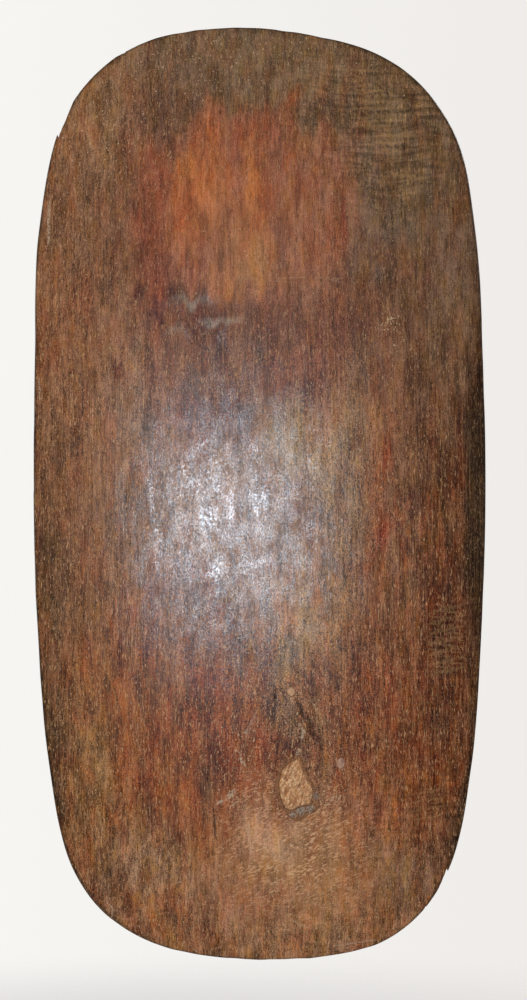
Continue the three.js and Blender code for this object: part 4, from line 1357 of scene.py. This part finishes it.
# How much smoother the shine makes the wood, and how hard the glaze's edge is.
SHINE_SMOOTHS, GLAZE_HARDNESS = 0.04, 1.7
# The colour and strength of gouges, cracks, scratches and bare grain.
STROKE_TINTS = [("#A8875C", 0.65), ("#3C2C27", 0.9), ("#C8B49C", 0.8), ("#BCA48A", 0.95)]
# The relief too fine for the mesh: size and height of each layer of fibres.
FIBRE_RELIEF = [(1.7, 22, 0.5), (3.6, 70, 0.5), (2.2, 3.0, 0.45), (11, 24, 0.9)]


def wood_lightness(tree, flow, place, gritty, calm):
    """How light or dark each place of the wood is: the sum of its layers, with grit and slow clouds."""
    light = None
    for across, along, detail, seed, strength in LIGHT_LAYERS:
        layer = grain_noise(tree, flow, across, along, detail, seed, 0.6)
        layer = add(tree, "MapRange", layer, NOISE_LOW, NOISE_HIGH, -strength, strength, clamp=False)
        light = layer if light is None else add(tree, "Math", light, layer, operation="ADD")
    grit = varying(tree, place, "grit", clamp=False)
    light = add(tree, "Math", grit, gritty, light, operation="MULTIPLY_ADD")
    light = add(tree, "Math", light, varying(tree, flow, "clouds", clamp=False), operation="ADD")
    return add(tree, "Math", light, calm, MEAN_LIGHT, operation="MULTIPLY_ADD")


def pale_flecks(tree, place, scuffed):
    """Pale flecks everywhere, one to a cell and some left out, and many more where the face is scuffed."""
    cells = add(tree, "VectorMath", place, tuple(1 / side for side in FLECK_CELL), operation="MULTIPLY")
    cell = add(tree, "TexVoronoi", named={"Vector": cells, "Scale": 1.0}, get=None)
    kept = add(tree, "SeparateXYZ", cell.outputs["Color"])
    size = add(tree, "MapRange", kept, CELLS_EMPTY, 1.0, FLECK_LEAST, FLECK_MOST, clamp=False)
    speck = add(tree, "Math", size, cell.outputs["Distance"], operation="SUBTRACT")
    speck = add(tree, "MapRange", speck, -FLECK_EDGE, FLECK_EDGE, 0.0, FLECK_STRENGTH)
    least = add(tree, "Math", scuffed, -SCUFF_LOWERS, SCUFF_FROM, operation="MULTIPLY_ADD")
    fleck = add(tree, "Math", grain_noise(tree, place, 2.6, 3.1, 2, 83), least, operation="SUBTRACT")
    fleck = add(tree, "MapRange", fleck, 0.0, SCUFF_EDGE, 0.0, FLECK_STRENGTH)
    return add(tree, "Math", speck, fleck, operation="MAXIMUM")


def worn_dashes(tree, place, rippled):
    """The noise that dashes are drawn from, and the clusters that they keep to."""
    leaning = add(tree, "Mapping", named={"Vector": place, "Rotation": (0, DASH_LEAN, 0)})
    cluster = add(tree, "Math", varying(tree, place, "clusters of dashes"), rippled, operation="MULTIPLY")
    return grain_noise(tree, leaning, 6.5, 2.2, 2, 71), cluster


def with_strokes(tree, colour, flow, lines):
    """The strokes over a colour: crisp where the stored distance to a line is small, with small breaks."""
    broken, ragged = varying(tree, flow, "breaks in strokes"), varying(tree, flow, "edges of strokes")
    for (distance, power), (tint, strength) in zip(lines, STROKE_TINTS):
        away = add(tree, "Math", distance, operation="ABSOLUTE")
        away = add(tree, "Math", away, ragged, operation="ADD")
        colour = lay(tree, colour, tint, away, 1.1, 0.6, strength, power, broken)
    return colour


def fine_relief(tree, flow, place, gritty, dashes, cluster):
    """A bump for what is too fine for the mesh: fibres, which give way to grit in the middle, and dashes."""
    relief = None
    for order, (across, along, height) in enumerate(FIBRE_RELIEF):
        layer = grain_noise(tree, flow, across, along, 2, 103 + order * 3.7)
        layer = add(tree, "Math", layer, height, operation="MULTIPLY")
        relief = layer if relief is None else add(tree, "Math", relief, layer, operation="ADD")
    crazed = add(tree, "Math", grain_noise(tree, place, 2.0, 2.6, 3, 127, 0.65), 0.6, operation="MULTIPLY")
    relief = add(tree, "Mix", named={MIX_SHARE: gritty, MIX_FROM_NUMBER: relief, MIX_TO_NUMBER: crazed},
                 data_type="FLOAT")
    relief = add(tree, "Math", dashes, cluster, relief, operation="MULTIPLY_ADD")
    return add(tree, "Bump", named={"Height": relief, "Strength": 1.0, "Distance": 0.0005})


def glazed_coat(tree, flow, place, shine, burnished):
    """The glaze that rubbing has raised in ragged patches, and the haze round it, both crazed into bright
    grit. Real grit is finer, and is drawn 2 to 3 mm wide so that it shows."""
    glaze = add(tree, "Math", varying(tree, place, "glaze"), burnished, operation="ADD")
    glaze = add(tree, "MapRange", glaze, 0.7, 1.75, 0.0, 1.0)
    glaze = add(tree, "Math", glaze, GLAZE_HARDNESS, operation="POWER")
    haze = add(tree, "Math", varying(tree, flow, "haze"), shine, operation="MULTIPLY")
    coat = add(tree, "Math", glaze, haze, operation="MAXIMUM")
    return add(tree, "Math", coat, varying(tree, place, "crystals"), operation="MULTIPLY")


def patinated_hardwood():
    """Patinated hardwood: a dense red-brown board, hewn, worn by hands and darkened by smoke and grease. The
    eye gets long fine fibres, light and dark, blotched by age, with dark pores, pale flecks and a low shine
    that turns to a cloudy glaze where hands have rubbed it most. Its stored colour also holds painted shade
    along the rim and the turned-away edges, a painted shadow round the knot and a few painted glints."""
    material, tree = new_material("patinated_hewn_hardwood")
    flow = add(tree, "Attribute", get="Vector", attribute_name="flow")
    stain_and_painted_light = add(tree, "Attribute", get="Color", attribute_name="stain_and_painted_light")
    wear, ground, lines, powers, gouges = (
        add(tree, "SeparateXYZ", add(tree, "Attribute", get="Vector", attribute_name=name), get=None).outputs
        for name in ("wear", "ground", "lines", "line_strengths", "gouges")
    )
    shine, burnished, scuffed = wear[0], wear[1], wear[2]
    banded, smooth, gritty, rippled = ground[0], ground[1], ground[2], gouges[2]
    place = place_in_mm(tree)

    # The smoother a place is worn, the calmer its grain and its drifts of hue.
    calm = add(tree, "Math", rippled, 1.3, smooth, operation="MULTIPLY_ADD")
    calm = add(tree, "MapRange", calm, -1.0, BACK_SMOOTH, 1.43, 0.35)
    drifting = add(tree, "MapRange", smooth, 1.0, BACK_SMOOTH, 1.0, 0.4)
    lively = add(tree, "MapRange", smooth, -0.5, 0.0, 1.7, 1.0)
    drifting = add(tree, "Math", drifting, lively, operation="MULTIPLY")

    # The stored colour, stains with some painted shade and glints, is darkened where the wood is dark, and
    # paled where it is light.
    light = wood_lightness(tree, flow, place, gritty, calm)
    shade = add(tree, "Math", light, SHADE_LIMIT, operation="MINIMUM")
    shade = add(tree, "Math", SHADE_BASE, shade, operation="POWER")
    colour = add(tree, "VectorMath", stain_and_painted_light, named={"Scale": shade}, operation="SCALE")
    paler = add(tree, "VectorMath", stain_and_painted_light, named={"Scale": PALE_TIMES}, operation="SCALE")
    paler = add(tree, "Mix", named={MIX_SHARE: 0.4, MIX_FROM: paler, MIX_TO: paint("#CCA078")},
                get=MIX_RESULT, data_type="RGBA")
    colour = lay(tree, colour, paler, light, 0.2, 1.4, 0.7)
    for order, (across, along, tint, strength) in enumerate(HUE_DRIFTS):
        drift = grain_noise(tree, flow, across, along, 7, 31 + order * 5.1, 0.66)
        colour = lay(tree, colour, tint, drift, 0.46, 0.62, strength, drifting, blend="MULTIPLY")
    for order, (across, along, least, strength, tint) in enumerate(PORES):
        pore = grain_noise(tree, flow, across, along, 1, 57 + order * 6.1)
        colour = lay(tree, colour, tint, pore, least, least + 0.07, strength, calm)

    # Level bands left by a blade: soft, dark and olive by turns.
    bands = varying(tree, flow, "blade bands")
    bands = add(tree, "Mix", named={MIX_SHARE: banded, MIX_FROM_NUMBER: 1.0, MIX_TO_NUMBER: bands},
                data_type="FLOAT")
    colour = add(tree, "VectorMath", colour, named={"Scale": bands}, operation="SCALE")

    dashes, cluster = worn_dashes(tree, place, rippled)
    # The dashes' pale crests and dark troughs are partly painted highlight and painted shade over their own
    # bump.
    for low, high, tint, strength in DASH_TINTS_WITH_PAINTED_LIGHT:
        colour = lay(tree, colour, tint, dashes, low, high, strength, cluster)
    colour = lay(tree, colour, FLECK_TINT, pale_flecks(tree, place, scuffed), 0.0, 1.0, 1.0)
    drawn = [(gouges[0], gouges[1]), (lines[0], powers[0]), (lines[1], powers[1]), (lines[2], powers[2])]
    colour = with_strokes(tree, colour, flow, drawn)

    bump = fine_relief(tree, flow, place, gritty, dashes, cluster)
    rough = varying(tree, flow, "roughness")
    rough = add(tree, "Math", shine, -SHINE_SMOOTHS, rough, operation="MULTIPLY_ADD")
    end_material(tree, {
        "Base Color": colour, "Roughness": rough, "Normal": bump, "IOR": 1.5, "Specular IOR Level": 0.12,
        "Coat Weight": glazed_coat(tree, flow, place, shine, burnished), "Coat Normal": bump,
        "Coat Roughness": 0.24, "Coat IOR": 1.8,
    })
    return material


# The lean of the heart's broken fibres.
FIBRE_LEAN = np.radians(-28)


def torn_heart():
    """Torn heartwood: raw, tan fibres that broke off short, with a painted highlight on their tops and ridges
    and painted shade between them and in the cracks. The eye gets a dry, crumbly surface with no shine at
    all."""
    material, tree = new_material("torn_raw_heartwood")
    place = place_in_mm(tree)
    leaning = add(tree, "Mapping", named={"Vector": place, "Rotation": (0, FIBRE_LEAN, 0)})
    warp = add(tree, "TexNoise", named={"Vector": place, "Scale": 0.35, "Detail": 3.0}, get="Color")
    chunks = add(tree, "VectorMath", warp, (4.0, 4.0, 4.0), leaning, operation="MULTIPLY_ADD")
    chunks = add(tree, "VectorMath", chunks, (1 / 4.2, 1 / 4.2, 1 / 7.5), operation="MULTIPLY")
    chunk = add(tree, "TexVoronoi", named={"Vector": chunks, "Scale": 1.0}, get="Color")
    tone = add(tree, "SeparateXYZ", chunk)
    crevice = add(tree, "TexVoronoi", named={"Vector": chunks, "Scale": 1.0}, get="Distance",
                  feature="DISTANCE_TO_EDGE")
    deep = add(tree, "Attribute", get="Fac", attribute_name="deep")
    # Each layer, its tint, the two values that it comes in between, and its strength. The chunks' tone is the
    # wood's own colour; the rest are painted light: pale on the tops by depth and on the ridges as painted
    # highlight, and dark in the hollows, between the fibres and along the chunks' cracks as painted shade.
    tones_and_painted_light = [
        (deep, "#F2D0A8", 0.3, 0.1, 0.7),
        (deep, "#A2693C", 0.42, 0.85, 0.8),
        (tone, "#BC8450", 0.4, 1.0, 0.6),
        (grain_noise(tree, leaning, 2.4, 6.0, 3, 5.0, 0.6), "#F2CEA2", 0.52, 0.6, 0.85),
        (grain_noise(tree, leaning, 1.3, 2.6, 3, 10.0, 0.6), "#8C5A34", 0.55, 0.64, 0.8),
        (crevice, "#74482A", 0.07, 0.0, 0.75),
        (grain_noise(tree, leaning, 3.6, 2.2, 3, 15.0, 0.6), "#9C6A42", 0.58, 0.66, 0.7),
    ]
    colour = "#DCA672"
    for layer, tint, low, high, strength in tones_and_painted_light:
        colour = lay(tree, colour, tint, layer, low, high, strength)
    raised = grain_noise(tree, leaning, 1.5, 2.6, 3, 3.0)
    raised = add(tree, "Math", tone, 0.8, raised, operation="MULTIPLY_ADD")
    bump = add(tree, "Bump", named={"Height": raised, "Strength": 1.0, "Distance": 0.0012})
    end_material(tree, {"Base Color": colour, "Normal": bump, "Roughness": 0.95, "IOR": 1.5})
    return material


def crumbled_bark():
    """Dry bark and resin: brown crumbs, with ash-grey and mauve lumps where resin has dried. The eye gets a
    rough ring that blends into the wood, with a pale bloom at its lower right."""
    material, tree = new_material("crumbled_bark_and_resin")
    place = place_in_mm(tree)
    resin = add(tree, "Attribute", get="Fac", attribute_name="resin")
    crumbs = grain_noise(tree, place, 2.2, 2.6, 4, 0.0, 0.6)
    share = add(tree, "MapRange", crumbs, 0.35, 0.65, 0.0, 1.0)
    brown = lay(tree, "#6A4026", "#A87A52", share, 0.0, 1.0, 1.0)
    grey = lay(tree, "#66584C", "#C8BAA6", share, 0.0, 1.0, 1.0)
    grey = lay(tree, grey, "#8A6660", grain_noise(tree, place, 5, 5, 2, 8.0), 0.48, 0.58, 0.5)
    edge = add(tree, "Math", resin, share, 0.5, operation="MULTIPLY_ADD")
    edge = add(tree, "Math", edge, resin, operation="ADD")
    colour = lay(tree, brown, grey, edge, 1.2, 1.75, 0.9)
    colour = lay(tree, colour, "#2A201A", varying(tree, place, "pits in bark"), 0.0, 1.0, 1.0, resin)
    bump = add(tree, "Bump", named={"Height": crumbs, "Strength": 1.0, "Distance": 0.0008})
    end_material(tree, {
        "Base Color": colour, "Normal": bump, "Roughness": 0.75, "IOR": 1.5, "Specular IOR Level": 0.2,
    })
    return material


def split_wood(name, pale, dark, deep, fibre, along, rough):
    """Wood cut or worn across: a pale ground, darker fibres and dark hollows between them. The eye gets plain
    wood, as dull or as polished as its roughness says."""
    material, tree = new_material(name)
    place = place_in_mm(tree)
    fibres = grain_noise(tree, place, fibre, along, 3)
    colour = lay(tree, pale, dark, fibres, 0.4, 0.68, 0.85)
    colour = lay(tree, colour, deep, grain_noise(tree, place, fibre * 4, along * 1.5, 2, 9), 0.5, 0.7, 0.7)
    bump = add(tree, "Bump", named={"Height": fibres, "Strength": 1.0, "Distance": 0.0005})
    end_material(tree, {"Base Color": colour, "Normal": bump, "Roughness": rough, "IOR": 1.5})
    return material


# Each small piece's finish: its colours, the size of its fibres in millimetres and how rough it is.
SPLIT_WOODS = {
    "raw_plug_wood": ("#CEA47E", "#B28862", "#9C7452", 1.6, 7, 0.85),
    "grey_pin_knot": ("#BC927A", "#966E58", "#70503E", 1.8, 6, 0.8),
    "hand_polished_grip_wood": ("#6A4A32", "#4E3423", "#3A271B", 2.2, 60, 0.42),
    "whittled_peg_wood": ("#8C6A48", "#6C4E34", "#523A28", 1.5, 18, 0.6),
}


def make_pieces():
    """Every piece of the shield, the solid it stands for and the angle past which its edges are sharp."""
    heart_wood, bark = torn_heart(), crumbled_bark()
    split = [split_wood(name, *finish) for name, finish in SPLIT_WOODS.items()]
    plug_wood, pin_wood, grip_wood, peg_wood = split
    pieces = [
        (make_board(), patinated_hardwood(), "board", 38),
        (make_heart(), heart_wood, "knot_heart", 50),
        (make_bark(), bark, "knot_bark", 60),
        (make_plug("small_plug_wood", SMALL_PLUG, 97), plug_wood, "small_knot_plug", 50),
        (make_plug("pin_knot_wood", PIN_KNOT, 99), pin_wood, "pin_knot", 50),
        (make_grip(), grip_wood, "grip_bar", 40),
        (make_peg("upper_peg_wood", LUG_MIDDLE_Z, 73), peg_wood, "upper_grip_peg", 40),
        (make_peg("lower_peg_wood", -LUG_MIDDLE_Z, 75), peg_wood, "lower_grip_peg", 40),
    ]
    for piece, material, node, edge in pieces:
        finish_piece(piece, material, node, edge)


# The photograph's frame: how far the camera is, and the millimetres that one pixel covers at the board.
IMAGE_HEIGHT = 1000
MM_PER_PIXEL = 1.3986
FRAME_MIDDLE = (5.3, -9.1)
FRAMED_Y = -12.0
CAMERA_DISTANCE = 5000.0
SENSOR = 36.0


def make_camera():
    """A long lens, square to the board, framed as the photograph is."""
    lens = bpy.data.cameras.new("camera")
    lens.sensor_width = SENSOR
    lens.lens = SENSOR * CAMERA_DISTANCE / (IMAGE_HEIGHT * MM_PER_PIXEL)
    lens.clip_start, lens.clip_end = 0.1, 100
    camera = bpy.data.objects.new("camera", lens)
    camera.location = (FRAME_MIDDLE[0] * MM, (FRAMED_Y - CAMERA_DISTANCE) * MM, FRAME_MIDDLE[1] * MM)
    camera.rotation_euler = (np.pi / 2, 0, 0)
    bpy.context.scene.collection.objects.link(camera)
    bpy.context.scene.camera = camera


# Soft boxes: the place and size in metres, the power in watts, the colour, the place that it faces and what
# it gives: the shine, the even light or both.
SHINE, EVEN, BOTH = "shine", "even", "both"
SOFT_BOXES = [
    ("key", (-0.155, -1.15, -0.045), (0.66, 0.36), 24, "#D6E6F6", (-0.06, 0, -0.02), SHINE),
    ("left_fill", (-2.6, -3.2, 1.2), (2.0, 2.6), 60, "#FFFAF4", (0, 0, 0), EVEN),
    ("high_fill", (0.4, -2.6, 3.4), (2.6, 1.4), 40, "#FFF6EA", (0, 0, 0.2), EVEN),
    ("low_fill", (0.1, -2.8, -1.6), (2.4, 0.8), 29, "#FFF2E4", (0, 0, -0.4), EVEN),
    ("back_key", (2.7, 2.1, 1.8), (0.9, 0.9), 110, "#FFFFFF", (0, 0, 0), BOTH),
    ("back_fill", (-2.4, 2.2, 0.6), (1.6, 2.0), 26, "#F4F6FF", (0, 0, 0), BOTH),
]


def make_lights():
    """The soft boxes, hidden from the camera."""
    for name, place, (width, height), power, tint, aim, gives in SOFT_BOXES:
        light = bpy.data.lights.new(name, "AREA")
        light.shape, light.size, light.size_y = "RECTANGLE", width, height
        light.energy, light.color = power, linear(tint)
        holder = bpy.data.objects.new(name, light)
        holder.location = place
        holder.rotation_euler = (Vector(place) - Vector(aim)).to_track_quat("Z", "Y").to_euler()
        holder.visible_camera = False
        holder.visible_diffuse = gives != SHINE
        holder.visible_glossy = gives != EVEN
        bpy.context.scene.collection.objects.link(holder)


# The backdrop's colours on the left and right, and the colour and strength of the light that it gives.
BACKDROP_LEFT, BACKDROP_RIGHT, BACKDROP_TURN = "#F6F5F2", "#EFECE9", 0.07
STUDIO_LIGHT, STUDIO_STRENGTH = "#E8ECF2", 0.16


def make_world():
    """A plain pale studio: the camera sees a pale backdrop, a little brighter on its left, and the shield
    gets only a dim even light from it."""
    world = bpy.data.worlds.new("pale_studio")
    world.use_nodes = True
    bpy.context.scene.world = world
    tree = world.node_tree
    tree.nodes.clear()
    side = add(tree, "SeparateXYZ", add(tree, "TexCoord", get="Generated"))
    shown = lay(tree, BACKDROP_LEFT, BACKDROP_RIGHT, side, -BACKDROP_TURN, BACKDROP_TURN, 1.0)
    seen = add(tree, "Background", shown, 1.0)
    felt = add(tree, "Background", paint(STUDIO_LIGHT), STUDIO_STRENGTH)
    camera_ray = add(tree, "LightPath", get="Is Camera Ray")
    add(tree, "OutputWorld", add(tree, "MixShader", camera_ray, felt, seen), get=None)


FLOOR_Z, FLOOR_RADIUS, FLOOR_SOLID_RADIUS, FLOOR_SIDES = -800.0, 1300.0, 500.0, 96


def make_floor():
    """A pale round floor below the shield, which fades out towards its edge."""
    turn = turns(FLOOR_SIDES)
    edge = np.stack([np.cos(turn), np.sin(turn), turn * 0], axis=1) * FLOOR_RADIUS
    floor = mesh_object("floor", edge + (0, 0, FLOOR_Z), [[list(range(FLOOR_SIDES))]])
    material, tree = new_material("pale_studio_floor")
    flat = add(tree, "VectorMath", add(tree, "TexCoord", get="Object"), (1, 1, 0), operation="MULTIPLY")
    away = add(tree, "VectorMath", flat, get="Value", operation="LENGTH")
    solid = add(tree, "MapRange", away, FLOOR_SOLID_RADIUS * MM, FLOOR_RADIUS * MM, 1.0, 0.0,
                interpolation_type="SMOOTHSTEP")
    end_material(tree, {
        "Base Color": paint("#A8A6A4"), "Roughness": 0.8, "Alpha": solid,
        "Emission Color": paint("#F2F0ED"), "Emission Strength": 0.5,
    })
    floor.data.materials.append(material)


make_camera()
make_lights()
make_world()
make_floor()
make_pieces()

bpy.context.scene.view_settings.view_transform = "Standard"
bpy.context.scene.view_settings.look = "None"
